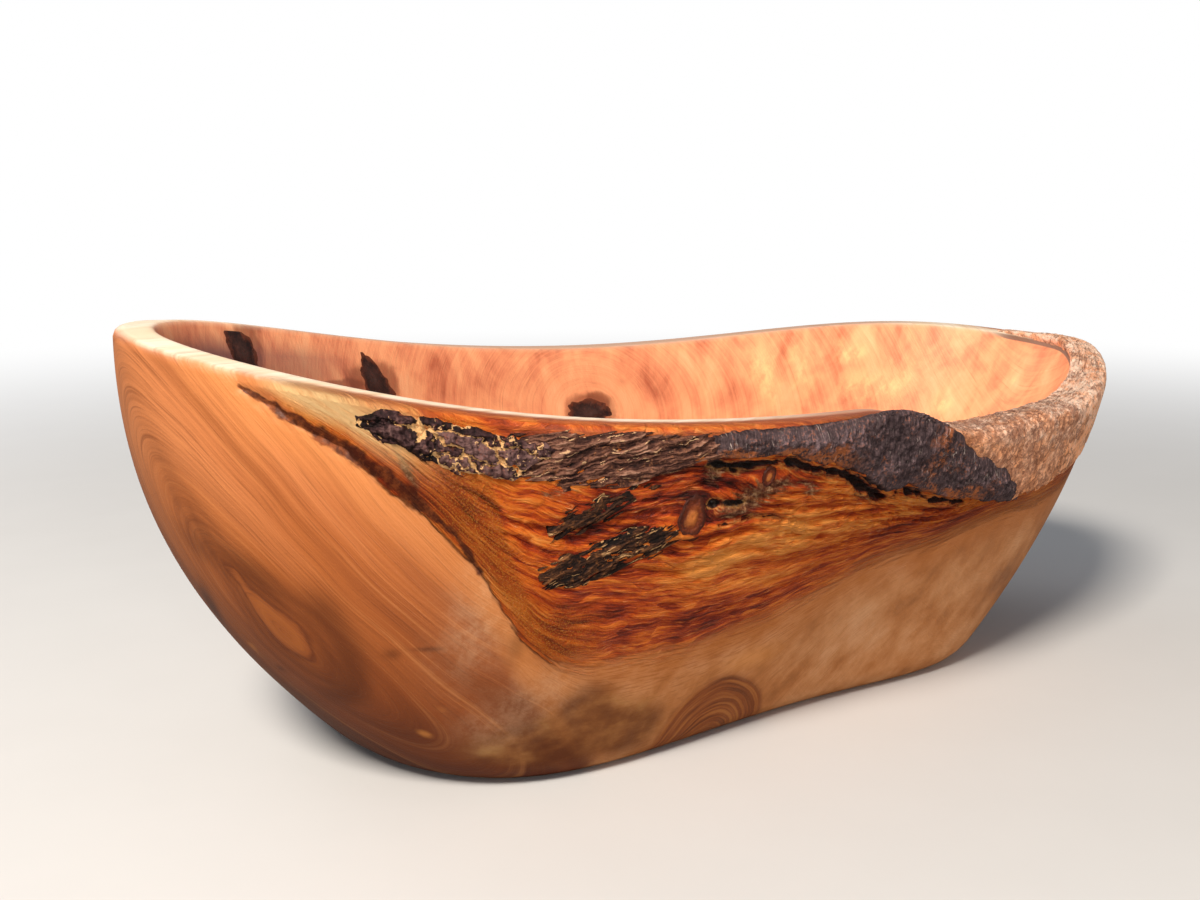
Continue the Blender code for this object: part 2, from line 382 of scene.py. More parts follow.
# Steps to both sides of a spot that show the ways along the wall, in degrees, and up it, as a share
TURN_STEP = 0.5
RISE_STEP = 0.01


def spot_axes(
    surface: Surface, angle: float, share: float, rise: float = RISE_STEP
) -> tuple[Array, Array, Array]:
    """A spot of the wall and the ways from it.

    Args:
        surface: the face of the wall.
        angle: the spot's angle.
        share: its share.
        rise: the step up and down.

    Returns:
        The spot, the way along the wall over both turn steps, and the way up over both rises.
    """
    turn, level = np.array([angle]), np.array([share])
    along = surface(turn + TURN_STEP, level) - surface(turn - TURN_STEP, level)
    up = surface(turn, level + rise) - surface(turn, level - rise)
    return surface(turn, level)[0], along[0], up[0]


@dataclass(frozen=True)
class Patch:
    """A soft oval area of the wall, with half sizes in millimetres."""

    angle: float
    share: float
    half_width: float
    half_height: float
    tilt: float = 0.0
    strength: float = 1.0
    reach: float = 24.0
    fade: float = 1.2

    def place(self, surface: Surface, points: Array) -> tuple[Array, Array, Array]:
        """Coordinates of points on the patch.

        Args:
            surface: the face of the wall that carries the patch.
            points: any points near it.

        Returns:
            Shares of the half width and of the half height, and the depth in millimetres.
        """
        centre, along, up = spot_axes(surface, self.angle, self.share)
        along = along / np.linalg.norm(along)
        up = up - along * (up @ along)
        up = up / np.linalg.norm(up)
        away = points - centre
        right, high = away @ along * MM, away @ up * MM
        turn = math.radians(self.tilt)
        run = right * math.cos(turn) + high * math.sin(turn)
        rise = high * math.cos(turn) - right * math.sin(turn)
        return run / self.half_width, rise / self.half_height, away @ np.cross(along, up) * MM

    def weight(self, surface: Surface, points: Array) -> Array:
        """How strongly the patch covers each point.

        Args:
            surface: the face of the wall that carries the patch.
            points: any points.

        Returns:
            Its strength in the middle, fading to 0 outside it and away from the face.
        """
        run, rise, depth = self.place(surface, points)
        near = smooth(self.reach, self.reach / 2, np.abs(depth))
        return self.strength * np.exp(-(run**2 + rise**2) * self.fade) * near


def patches(*rows: tuple[float, ...]) -> tuple[Patch, ...]:
    """Patches from rows of angle, share, half width, half height, tilt and strength."""
    return tuple(Patch(*row) for row in rows)


# Lower edge of the natural, unsanded wood: down the dark line at the left, then
# along the sapwood and up under the cork
LIVE_EDGE = (
    (196.0, 1.12), (203.0, 1.03), (206.7, 0.974), (216.3, 0.907), (221.7, 0.808),
    (226.7, 0.691), (228.7, 0.580), (231.0, 0.414), (232.3, 0.378), (241.3, 0.371),
    (250.0, 0.377), (259.0, 0.414), (267.3, 0.488), (277.0, 0.593), (286.3, 0.668),
    (296.0, 0.700), (312.0, 0.703), (330.0, 0.745), (350.0, 0.815), (366.0, 0.91),
    (376.0, 1.04), (386.0, 1.12),
)


# Where the fibre of the natural edge runs out under the bark
BARK_FOOT = (
    (196.0, 1.22), (206.7, 1.10), (216.0, 1.05), (222.0, 1.00), (232.0, 0.93), (240.0, 0.90),
    (250.0, 0.87), (257.0, 0.85), (263.0, 0.81), (268.0, 0.79), (272.0, 0.77), (280.0, 0.78),
    (290.0, 0.79), (297.0, 0.80), (312.0, 0.82), (330.0, 0.86), (350.0, 0.93), (366.0, 1.02),
    (386.0, 1.25),
)


# Knots that the fibre parts round: angle, share and reach in millimetres
KNOTS = ((249.7, 0.775, 9.0), (257.3, 0.870, 5.0))


class WallChart:
    """Distances on the outer wall in millimetres: along it, and above the live edge."""

    FIRST, LAST = 90.0, 450.0
    COUNT = 2881
    # The share of the wall along which distances are measured, and how its slope stretches heights
    RUN_SHARE = 0.75
    SLOPE = 1.12
    # How many of the chart's angles round the corners of the live edge, the fibre and the bark's foot
    EDGE_ROUND, FIBRE_ROUND, FOOT_ROUND = 9, 70, 40
    # Millimetres of fibre between the live edge and the bark, and how far it parts round a knot
    FIBRE_SPAN = 42.0
    PARTING = 0.85
    KNOT_LENGTH = 1.5

    def __init__(self, wall: WallForm) -> None:
        """Measure the wall once, finely.

        Args:
            wall: the wall's formula.
        """
        self.angles = np.linspace(self.FIRST, self.LAST, self.COUNT)
        ring = wall.outside(self.angles, np.full_like(self.angles, self.RUN_SHARE))
        steps = np.linalg.norm(np.diff(ring, axis=0), axis=1)
        self.runs = np.concatenate([[0.0], np.cumsum(steps)]) * MM
        self.tall = (wall.rim_height(self.angles) - wall.rim_round) * MM * self.SLOPE
        self.edge = self.eased(LIVE_EDGE, self.EDGE_ROUND)
        climb = self.softened(np.gradient(self.edge * self.tall, self.runs), self.EDGE_ROUND)
        self.slant = 1 / np.sqrt(1 + climb**2)
        self.bend = self.eased(LIVE_EDGE, self.FIBRE_ROUND)
        self.spread = self.eased(BARK_FOOT, self.FOOT_ROUND) - self.bend

    def softened(self, values: Array, reach: int) -> Array:
        """Values of the chart, averaged with their neighbours on both sides."""
        kernel = np.hanning(2 * reach + 3)
        return np.convolve(np.pad(values, reach + 1, mode="edge"), kernel / kernel.sum(), mode="valid")

    def eased(self, line: Sequence[tuple[float, float]], reach: int) -> Array:
        """The shares of a line at every angle of the chart, with its corners rounded."""
        spots = np.array(line)
        return self.softened(np.interp(self.angles, spots[:, 0], spots[:, 1]), reach)

    def turned(self, angle: Array) -> Array:
        """The same angles, within the chart."""
        return self.FIRST + (np.asarray(angle, float) - self.FIRST) % 360

    def run(self, angle: Array) -> Array:
        """Distance along the wall from its back, in millimetres."""
        inside = (np.asarray(angle) >= self.FIRST) & (np.asarray(angle) <= self.LAST)
        return np.interp(np.where(inside, angle, self.turned(angle)), self.angles, self.runs)

    def height(self, angle: Array, share: Array) -> Array:
        """Distance up the wall from the foot, in millimetres."""
        return share * np.interp(self.turned(angle), self.angles, self.tall)

    def lift(self, angle: Array, share: Array) -> Array:
        """Distance above the live edge, in millimetres; below 0 is the sanded wood."""
        turn = self.turned(angle)
        above = share - np.interp(turn, self.angles, self.edge)
        return above * np.interp(turn, self.angles, self.tall * self.slant)

    def flow(self, angle: Array, share: Array) -> Array:
        """Place across the fibre of the natural edge, which parts round the knots.

        Args:
            angle: angles of the points.
            share: shares of the points.

        Returns:
            The place in millimetres, from 0 at the live edge.
        """
        turn = self.turned(angle)
        above = share - np.interp(turn, self.angles, self.bend)
        level = self.FIBRE_SPAN * above / np.interp(turn, self.angles, self.spread)
        for spot, height, reach in KNOTS:
            right = self.run(angle) - self.run(spot)
            up = self.height(angle, share) - self.height(spot, height)
            near = np.exp(-((right / (self.KNOT_LENGTH * reach)) ** 2) - (up / reach) ** 2)
            level = level - self.PARTING * up * near
        return level

    def off_line(self, line: Sequence[tuple[float, float]], angle: Array, share: Array) -> Array:
        """Distance from a line on the wall.

        Args:
            line: its stations, as angle and share.
            angle: angles of the points.
            share: shares of the points.

        Returns:
            The distances in millimetres.
        """
        x, y = self.run(angle), self.height(angle, share)
        spots = np.array(line)
        px, py = self.run(spots[:, 0]), self.height(spots[:, 0], spots[:, 1])
        nearest = np.full(np.shape(x), 1e3)
        for i in range(len(spots) - 1):
            dx, dy = px[i + 1] - px[i], py[i + 1] - py[i]
            part = np.clip(((x - px[i]) * dx + (y - py[i]) * dy) / (dx * dx + dy * dy), 0, 1)
            nearest = np.minimum(nearest, np.hypot(x - px[i] - part * dx, y - py[i] - part * dy))
        return nearest


# Mesh makers


# Points of a rolled grid that are this near, in metres, are one point
MERGE = 1e-6


def finish_mesh(
    name: str, mesh: bpy.types.Mesh, material: bpy.types.Material, merge: float = 0.0
) -> bpy.types.Object:
    """Close a mesh, turn its faces outwards, and place it in the scene.

    Args:
        name: the piece's name.
        mesh: its mesh, with its place in its vertices.
        material: its finish.
        merge: points this near are merged first, if above 0.

    Returns:
        The piece, riding on the bowl.
    """
    work = bmesh.new()
    work.from_mesh(mesh)
    if merge > 0:
        bmesh.ops.remove_doubles(work, verts=work.verts, dist=merge)
        bmesh.ops.dissolve_degenerate(work, edges=work.edges, dist=merge / 10)
    bmesh.ops.recalc_face_normals(work, faces=work.faces)
    work.to_mesh(mesh)
    work.free()
    mesh.shade_smooth()
    mesh.materials.append(material)
    piece = bpy.data.objects.new(name, mesh)
    bpy.context.scene.collection.objects.link(piece)
    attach(piece, CARRIER)
    log.info("%s: %d faces", name, len(mesh.polygons))
    return piece


def grid_mesh(name: str, columns: int, rows: int, double: bool = False) -> bpy.types.Mesh:
    """A flat grid, or two of them joined along their edges.

    Args:
        name: the mesh's name.
        columns: faces across.
        rows: faces up.
        double: make a second side by extruding the first.

    Returns:
        The mesh, one unit wide and high; the second side's vertices come last.
    """
    work = bmesh.new()
    bmesh.ops.create_grid(work, x_segments=columns, y_segments=rows, size=0.5)
    if double:
        bmesh.ops.extrude_face_region(work, geom=work.faces[:], use_keep_orig=True)
    mesh = bpy.data.meshes.new(name)
    work.to_mesh(mesh)
    work.free()
    return mesh


def grid_places(mesh: bpy.types.Mesh, columns: int, rows: int) -> tuple[Array, Array]:
    """Column and row of each vertex of a grid_mesh.

    Args:
        mesh: the mesh.
        columns: its faces across.
        rows: its faces up.

    Returns:
        The columns and the rows.
    """
    flat = np.empty(len(mesh.vertices) * 3, np.float32)
    mesh.vertices.foreach_get("co", flat)
    spots = flat.reshape(-1, 3)
    column = np.rint((spots[:, 0] + 0.5) * columns).astype(int)
    return column, np.rint((spots[:, 1] + 0.5) * rows).astype(int)


def lay(mesh: bpy.types.Mesh, points: Array, measures: dict[str, Array]) -> None:
    """Move the vertices of a mesh, and keep measures on them for its finish.

    Args:
        mesh: the mesh.
        points: a place for each vertex.
        measures: a number for each vertex, by name.
    """
    mesh.vertices.foreach_set("co", np.ascontiguousarray(points, np.float32).ravel())
    for name, values in measures.items():
        layer = mesh.attributes.new(name, "FLOAT", "POINT")
        layer.data.foreach_set("value", np.ascontiguousarray(values, np.float32).ravel())
    mesh.update()


# Finishes


class NodePad:
    """The nodes of one finish, made by short calls."""

    def __init__(self, name: str) -> None:
        """Start a finish.

        Args:
            name: its name.
        """
        self.material = bpy.data.materials.new(name)
        self.material.use_nodes = True
        self.tree = self.material.node_tree
        self.shader = self.tree.nodes["Principled BSDF"]
        # The place on the object, in metres
        self.place = self.node("ShaderNodeTexCoord").outputs["Object"]

    def node(self, kind: str, *values: object, **settings: object) -> bpy.types.Node:
        """Add one node.

        Args:
            kind: its kind.
            values: what its first inputs get, in order.
            settings: its properties.

        Returns:
            The node.
        """
        made = self.tree.nodes.new(kind)
        for key, value in settings.items():
            setattr(made, key, value)
        for socket, value in zip(made.inputs, values):
            self.feed(socket, value)
        return made

    def feed(self, socket: Socket, value: object) -> None:
        """Give a socket a link, a fixed value, or a colour by its code.

        Args:
            socket: the socket.
            value: what it gets.
        """
        if isinstance(value, bpy.types.NodeSocket):
            self.tree.links.new(value, socket)
        else:
            socket.default_value = tone(value) if isinstance(value, str) else value

    def measure(self, name: str) -> Socket:
        """A measure kept on the mesh."""
        return self.node("ShaderNodeAttribute", attribute_name=name).outputs["Fac"]

    def mapped(
        self, vector: Socket, centre: Vector, turn: Sequence[float], stretch: Sequence[float]
    ) -> Socket:
        """Coordinates about a centre, turned by radians and stretched along each axis."""
        made = self.node("ShaderNodeMapping", vector, centre, turn, stretch, vector_type="TEXTURE")
        return made.outputs["Vector"]

    def noise(
        self, vector: Socket, scale: float, detail: float = 3.0, rough: float = 0.55,
        colour: bool = False, distortion: float = 0.0,
    ) -> Socket:
        """Soft random clouds.

        Args:
            vector: the coordinates.
            scale: clouds per unit.
            detail: how many finer sizes are added.
            rough: how strong the finer ones are.
            colour: give three clouds at once.
            distortion: how far they are swirled.

        Returns:
            Values about 0.5.
        """
        made = self.node("ShaderNodeTexNoise", vector)
        sizes = {"Scale": scale, "Detail": detail, "Roughness": rough, "Distortion": distortion}
        for key, value in sizes.items():
            made.inputs[key].default_value = value
        return made.outputs["Color" if colour else "Fac"]

    def clouds(self, scale: float, detail: float = 3.0, rough: float = 0.55) -> Socket:
        """Soft random clouds over the object, by their number per metre."""
        return self.noise(self.place, scale, detail, rough)

    def pebbles(
        self, vector: Socket, scale: float, feature: str = "F1", output: str = "Distance"
    ) -> Socket:
        """Distances inside irregular cells, or a random colour for each cell."""
        made = self.node("ShaderNodeTexVoronoi", vector, feature=feature)
        made.inputs["Scale"].default_value = scale
        return made.outputs[output]

    def spot(self, form: "GrainFrame", cloud: Socket, uneven: float = 0.5, full: float = 0.7) -> Socket:
        """An oval spot with a soft, uneven edge: 1 at its middle and 0 outside it.

        Args:
            form: where it lies, with its half sizes in metres as stretch.
            cloud: what makes its edge uneven.
            uneven: how much.
            full: the share of its half sizes within which it is even.

        Returns:
            How strongly the spot shows.
        """
        local = self.mapped(self.place, Vector(form.centre), form.turn(), form.stretch)
        away = self.plus(self.length(local), self.swing(cloud, uneven * 2))
        return self.step(away, 1.1, full)

    def sum(self, operation: str, first: object, second: object = 0.0) -> Socket:
        """One step of arithmetic."""
        return self.node("ShaderNodeMath", first, second, operation=operation).outputs["Value"]

    def times(self, *values: object) -> Socket:
        """The product of all values."""
        return reduce(lambda first, second: self.sum("MULTIPLY", first, second), values)

    def plus(self, *values: object) -> Socket:
        """The sum of all values."""
        return reduce(lambda first, second: self.sum("ADD", first, second), values)

    def swing(self, cloud: Socket, *reach: object) -> Socket:
        """How far a cloud lies above or below its middle, times its reach."""
        return self.times(self.sum("SUBTRACT", cloud, 0.5), *reach)

    def rest(self, value: object) -> Socket:
        """What is left of 1."""
        return self.sum("SUBTRACT", 1.0, value)

    def streaks(
        self, across: tuple[Socket, float], along: tuple[Socket, float], detail: float, rough: float = 0.55
    ) -> Socket:
        """Soft random clouds over two measures, each given with its clouds per unit."""
        return self.noise(self.trio(self.times(*across), self.times(*along)), 1.0, detail, rough)

    def step(self, value: object, low: object, high: float) -> Socket:
        """A soft step from 0 to 1.

        Args:
            value: what is measured.
            low: where the step is 0; a socket has to stay below high.
            high: where it is 1.

        Returns:
            The step.
        """
        flip = not isinstance(low, bpy.types.NodeSocket) and low > high
        ends = (high, low, 1.0, 0.0) if flip else (low, high, 0.0, 1.0)
        made = self.node("ShaderNodeMapRange", value, *ends, interpolation_type="SMOOTHSTEP")
        return made.outputs["Result"]

    def band(self, value: object, middle: float, half: float) -> Socket:
        """1 at the middle, fading to 0 a half width to both sides."""
        away = self.sum("ABSOLUTE", self.sum("SUBTRACT", value, middle))
        return self.step(away, half, 0.0)

    def trio(self, x: object, y: object, z: object = 0.0) -> Socket:
        """A vector of three values."""
        return self.node("ShaderNodeCombineXYZ", x, y, z).outputs["Vector"]

    def parts(self, vector: Socket) -> list[Socket]:
        """The three values of a vector."""
        return list(self.node("ShaderNodeSeparateXYZ", vector).outputs)

    def vector(self, operation: str, first: object, second: object) -> Socket:
        """One step of arithmetic on vectors."""
        return self.node("ShaderNodeVectorMath", first, second, operation=operation).outputs["Vector"]

    def shifted(self, vector: Socket, cloud: Socket, reach: float) -> Socket:
        """Coordinates pushed about by a three-fold cloud."""
        away = self.vector("SUBTRACT", cloud, (0.5, 0.5, 0.5))
        return self.vector("ADD", vector, self.vector("MULTIPLY", away, (reach, reach, reach)))

    def length(self, vector: Socket) -> Socket:
        """The length of a vector."""
        return self.node("ShaderNodeVectorMath", vector, operation="LENGTH").outputs["Value"]

    def ramp(self, value: Socket, *stops: tuple[float, str]) -> Socket:
        """A colour for each value.

        Args:
            value: what is looked up.
            stops: pairs of a value and its colour.

        Returns:
            The colour.
        """
        made = self.node("ShaderNodeValToRGB", value)
        steps = made.color_ramp.elements
        while len(steps) < len(stops):
            steps.new(1.0)
        for element, (place, code) in zip(steps, stops):
            element.position = place
            element.color = tone(code)
        return made.outputs["Color"]

    def mix(self, part: object, first: object, second: object) -> Socket:
        """Lay the second colour over the first.

        Args:
            part: how much of it, from 0 to 1.
            first: a colour, or its code.
            second: a colour, or its code.

        Returns:
            The mixed colour.
        """
        made = self.node("ShaderNodeMix", part, data_type="RGBA")
        self.feed(made.inputs[6], first)
        self.feed(made.inputs[7], second)
        return made.outputs[2]

    def over(self, colour: object, cover: object, *parts: object) -> Socket:
        """Lay a cover over a colour, as far as the product of the parts says."""
        return self.mix(self.times(*parts), colour, cover)

    def blend(self, part: object, first: object, second: object) -> Socket:
        """A value between two others."""
        made = self.node("ShaderNodeMix", part, data_type="FLOAT")
        self.feed(made.inputs[2], first)
        self.feed(made.inputs[3], second)
        return made.outputs[0]

    def bump(self, height: Socket, distance: float, strength: float = 1.0) -> None:
        """Let a height field move the light on the surface.

        Args:
            height: the field, from 0 to 1.
            distance: how high 1 is, in metres.
            strength: how much of it shows.
        """
        made = self.node("ShaderNodeBump")
        self.feed(made.inputs["Height"], height)
        made.inputs["Distance"].default_value = distance
        made.inputs["Strength"].default_value = strength
        self.feed(self.shader.inputs["Normal"], made.outputs["Normal"])

    def dress(self, colour: Socket, rough: object, specular: float) -> bpy.types.Material:
        """Connect the finish's colour and gloss.

        Args:
            colour: the colour.
            rough: the roughness.
            specular: the strength of reflections.

        Returns:
            The finished material.
        """
        self.feed(self.shader.inputs["Base Color"], colour)
        self.feed(self.shader.inputs["Roughness"], rough)
        self.shader.inputs["Specular IOR Level"].default_value = specular
        return self.material


@dataclass(frozen=True)
class GrainFrame:
    """Where the growth rings are centred, and how they lie in the wood."""

    centre: tuple[float, float, float]
    along: tuple[float, float, float]
    up: tuple[float, float, float]
    tilt: float
    stretch: tuple[float, float, float]

    @classmethod
    def on(
        cls, surface: Surface, angle: float, share: float, tilt: float, stretch: tuple[float, float, float]
    ) -> "GrainFrame":
        """Rings about a spot of the wall, with the rise of their fibre in degrees as tilt."""
        centre, along, up = spot_axes(surface, angle, share)
        return cls(tuple(centre), tuple(along), tuple(up), tilt, stretch)

    def turn(self) -> tuple[float, float, float]:
        """The turn of the axes: first along the fibre, then across it, then into the wood.

        Returns:
            The turn in radians.
        """
        side, high = Vector(self.along).normalized(), Vector(self.up).normalized()
        deep = side.cross(high).normalized()
        high = deep.cross(side)
        angle = math.radians(self.tilt)
        fibre = side * math.cos(angle) + high * math.sin(angle)
        across = high * math.cos(angle) - side * math.sin(angle)
        return tuple(Matrix((fibre, across, deep)).transposed().to_euler())


Stops = tuple[tuple[float, str], ...]


@dataclass(frozen=True)
class OliveWood:
    """Oiled olive wood: sanded heart and sap wood, the natural edge, the rim and the hollow."""

    eye: GrainFrame
    swirl: GrainFrame
    halos: tuple[GrainFrame, ...]
    corner: float
    start: float
    # Bands of the growth rings: name, rings per millimetre, waves along the fibre and detail
    bands: tuple[tuple[str, float, float, float], ...] = (
        ("broad", 0.10, 8.0, 2.0), ("lines", 0.45, 15.0, 3.0),
        ("fine", 1.9, 70.0, 2.0), ("pores", 3.2, 210.0, 2.0),
    )
    # Sanded heartwood
    heart: tuple[str, ...] = ("#562613", "#88451f", "#ab602f", "#c97d4c")
    ring_shade: str = "#7d411d"
    ring_light: str = "#d58e54"
    ring_band: str = "#84451f"
    heart_pore: str = "#6f3719"
    eye_rings: Stops = (
        (0.0, "#a05828"), (0.12, "#ad632e"), (0.19, "#9b5427"), (0.225, "#663117"),
        (0.27, "#84461f"), (0.36, "#6d3719"), (0.43, "#8c4c25"), (0.53, "#673318"),
        (0.64, "#8f4e27"), (0.80, "#7a4120"), (1.0, "#a05a2b"),
    )
    # Sanded sapwood
    sap: tuple[str, ...] = ("#8c5228", "#b2713f", "#c58757", "#d6a076")
    sap_pore: str = "#935a2e"
    sap_fibre: str = "#8a4a1e"
    sap_edge: str = "#ae632b"
    # Marks of the sanded wood
    glow_tone: str = "#cf8540"
    # Dark patches of the wood: partly real staining, partly painted shade low on the wall and at the left
    stain_and_shade_tone: str = "#53260f"
    frost_tone: str = "#d8b08a"
    spalt_veins: Stops = ((0.36, "#572a0f"), (0.47, "#6c3c1a"), (0.57, "#87552c"), (0.70, "#a87a48"))
    dome_arcs: Stops = ((0.36, "#54230c"), (0.50, "#803f1a"), (0.64, "#a0602c"))
    # Natural edge
    wild: tuple[str, ...] = ("#290903", "#741d08", "#b4430f", "#de6f20", "#f59a45")
    torn: str = "#2a0f06"
    string: str = "#dc9048"
    glint: str = "#f8d6a8"
    loose: Stops = ((0.36, "#140a06"), (0.46, "#4e301e"), (0.55, "#8a6444"), (0.66, "#cbab82"))
    bead_shade: str = "#93490f"
    bead_light: str = "#cf8935"
    wedge: str = "#ffd194"
    beside_line: str = "#e0904a"
    line: str = "#54260d"
    rust: tuple[str, str] = ("#421708", "#86431f")
    cleft_lip: str = "#c28545"
    # Very dark floor of the cracks in the natural edge: painted shade
    painted_cleft_shade: str = "#0f0705"
    brink: str = "#b96a48"
    # Rim
    # Pale top of the rim: partly the sanded wood's own tone, partly painted highlight
    rim: tuple[str, str] = ("#ead0b0", "#f6e4ce")
    rim_natural: str = "#b4663a"
    rim_pore: str = "#a96c3c"
    rim_ruddy: str = "#a95f44"
    rim_edging: str = "#6a3a28"
    # Hollow
    hollow: tuple[str, ...] = ("#b9684a", "#e2926a", "#f4ab7c", "#fcc392")
    hollow_pore: str = "#a85e36"
    halo: str = "#7a432d"
    # Colour of the painted glints in the hollow
    shine: str = "#ffd898"
    # Dark mauve at the left end of the hollow: partly dark wood, partly painted shade
    hollow_stain_and_shade: str = "#6e525a"
    # Surface
    bump_height: float = 0.0012
    bump_strength: float = 0.9
    specular: float = 0.25

    def rings(self, pad: NodePad, form: GrainFrame) -> dict[str, Socket]:
        """Growth rings about a centre.

        Args:
            pad: the finish's nodes.
            form: where the rings are centred.

        Returns:
            Broad bands, lines, fine lines and pores.
        """
        pushed = pad.shifted(pad.place, pad.noise(pad.place, 16.0, 2.0, colour=True), 0.007)
        local = pad.mapped(pushed, Vector(form.centre), form.turn(), form.stretch)
        away = pad.times(pad.length(local), MM)
        run, _, deep = pad.parts(local)
        made = {}
        for name, across, along, detail in self.bands:
            spot = pad.trio(pad.times(away, across), pad.times(run, along), pad.times(deep, along))
            made[name] = pad.noise(spot, 1.0, detail, 0.6)
        return made

    def heartwood(self, pad: NodePad, rings: dict[str, Socket]) -> Socket:
        """Colour of the sanded heartwood: deeper towards the foot, partly its own tone and partly painted
        shade, with faint lines and an eye.

        Args:
            pad: the finish's nodes.
            rings: the growth rings about the eye.

        Returns:
            The colour.
        """
        # Darker lower on the wall: partly the heartwood's tone, partly painted shade
        level = pad.plus(pad.times(pad.measure("height"), 0.009), pad.swing(rings["broad"], 0.75))
        colour = pad.ramp(level, *zip((0.06, 0.30, 0.62, 0.98), self.heart))
        lines = pad.plus(pad.times(rings["lines"], 0.6), pad.times(rings["fine"], 0.4))
        colour = pad.over(colour, self.ring_shade, pad.step(lines, 0.54, 0.36), 0.40)
        colour = pad.over(colour, self.ring_light, pad.step(lines, 0.52, 0.66), 0.30)
        colour = pad.over(colour, self.ring_band, pad.step(rings["broad"], 0.47, 0.36), 0.35)
        sway = pad.swing(pad.clouds(75.0, 3.0), 0.6)
        near = pad.times(pad.plus(pad.measure("eye"), pad.swing(rings["lines"], 0.9), sway), 0.2)
        colour = pad.over(colour, pad.ramp(near, *self.eye_rings), pad.step(near, 0.85, 0.15), 0.80)
        return pad.over(colour, self.heart_pore, pad.step(rings["pores"], 0.52, 0.70), 0.40)

    def sapwood(self, pad: NodePad, cloud: Socket) -> Socket:
        """Colour of the sanded sapwood: soft clouds with short dark pores.

        Args:
            pad: the finish's nodes.
            cloud: soft clouds.

        Returns:
            The colour.
        """
        slanted = pad.mapped(pad.place, Vector(), (0, 0.5, 0.4), (1.0, 1.0, 2.4))
        mottle = pad.noise(slanted, 105.0, 4.0, 0.6)
        value = pad.plus(pad.times(mottle, 0.5), pad.times(cloud, 0.5))
        colour = pad.ramp(value, *zip((0.34, 0.46, 0.55, 0.68), self.sap))
        lift = pad.measure("lift")
        dashes = pad.streaks((pad.measure("run"), 0.15), (pad.measure("flow"), 2.0), 3.0)
        colour = pad.over(colour, self.sap_pore, pad.step(dashes, 0.50, 0.68), 0.50)
        running = pad.times(pad.step(dashes, 0.44, 0.60), pad.step(lift, -17.0, -1.0))
        colour = pad.over(colour, self.sap_fibre, running, 0.65)
        return pad.over(colour, self.sap_edge, pad.step(lift, -16.0, 0.0), 0.70)

    def hollow_wood(self, pad: NodePad, cloud: Socket) -> Socket:
        """Colour of the sanded hollow: faint arcs about a swirl, curtains of light, halos, painted glints,
        and dark staining with painted shade at its left end.

        Args:
            pad: the finish's nodes.
            cloud: soft clouds.

        Returns:
            The colour.
        """
        rings = self.rings(pad, self.swirl)
        drape = pad.mapped(pad.place, Vector(), (0, 0, 0), (1.4, 1.0, 3.2))
        curtain = pad.noise(drape, 120.0, 5.0, 0.58, distortion=0.35)
        value = pad.plus(
            pad.times(rings["broad"], 0.15), pad.times(rings["lines"], 0.15),
            pad.times(rings["fine"], 0.16), pad.times(curtain, 0.54),
        )
        colour = pad.ramp(value, *zip((0.35, 0.45, 0.54, 0.68), self.hollow))
        colour = pad.over(colour, self.hollow_pore, pad.step(rings["pores"], 0.56, 0.76), 0.30)
        figure = pad.plus(pad.times(curtain, 0.5), pad.times(cloud, 0.5))
        for form in self.halos:
            colour = pad.over(colour, self.halo, pad.spot(form, figure, 1.1), 0.65)
        folds = pad.plus(0.15, pad.step(pad.noise(drape, 210.0, 5.0, 0.7), 0.40, 0.62))
        # Painted glints of light on the right of the hollow
        colour = pad.over(colour, self.shine, pad.step(pad.measure("glow"), 0.05, 0.95), folds, 0.65)
        # Dark wood with painted shade at the left end of the hollow
        return pad.over(colour, self.hollow_stain_and_shade, pad.step(pad.measure("stain"), 0.0, 1.0), 0.85)

    def sanded(
        self, pad: NodePad, rings: dict[str, Socket], cloud: Socket, grit: Socket
    ) -> Socket:
        """Colour of the sanded wood outside, from the heart at the left to the sap at the right.

        Args:
            pad: the finish's nodes.
            rings: the growth rings about the eye.
            cloud: soft clouds.
            grit: fine grains.

        Returns:
            The colour.
        """
        sapside = pad.plus(pad.measure("sap"), pad.swing(cloud, 1.3))
        heart, sap = self.heartwood(pad, rings), self.sapwood(pad, cloud)
        colour = pad.mix(pad.step(sapside, 0.2, 0.8), heart, sap)
        colour = pad.over(colour, self.glow_tone, pad.step(pad.measure("glow"), 0.1, 0.9), 0.6)
        # Darker patches: partly real staining, partly painted shade
        colour = pad.over(colour, self.stain_and_shade_tone, pad.step(pad.measure("stain"), 0.05, 0.95), 0.75)
        marble = pad.noise(pad.mapped(pad.place, Vector(), (0, 0, 0), (1.8, 1.8, 1.0)), 130.0, 4.0, 0.55)
        veined = pad.ramp(marble, *self.spalt_veins)
        colour = pad.over(colour, veined, pad.step(pad.measure("spalt"), 0.1, 0.8), 0.85)
        bloom = pad.step(pad.clouds(190.0, 5.0, 0.7), 0.38, 0.62)
        bloomy, gritty = pad.plus(0.35, pad.times(bloom, 0.65)), pad.plus(0.45, pad.times(grit, 0.8))
        colour = pad.over(colour, self.frost_tone, pad.measure("frost"), bloomy, gritty, 0.38)
        dome = pad.plus(pad.measure("dome"), pad.swing(cloud, 0.12))
        arcs = pad.streaks((dome, 22.0), (pad.measure("run"), 0.03), 3.0)
        return pad.over(colour, pad.ramp(arcs, *self.dome_arcs), pad.step(dome, 1.05, 0.93), 0.88)

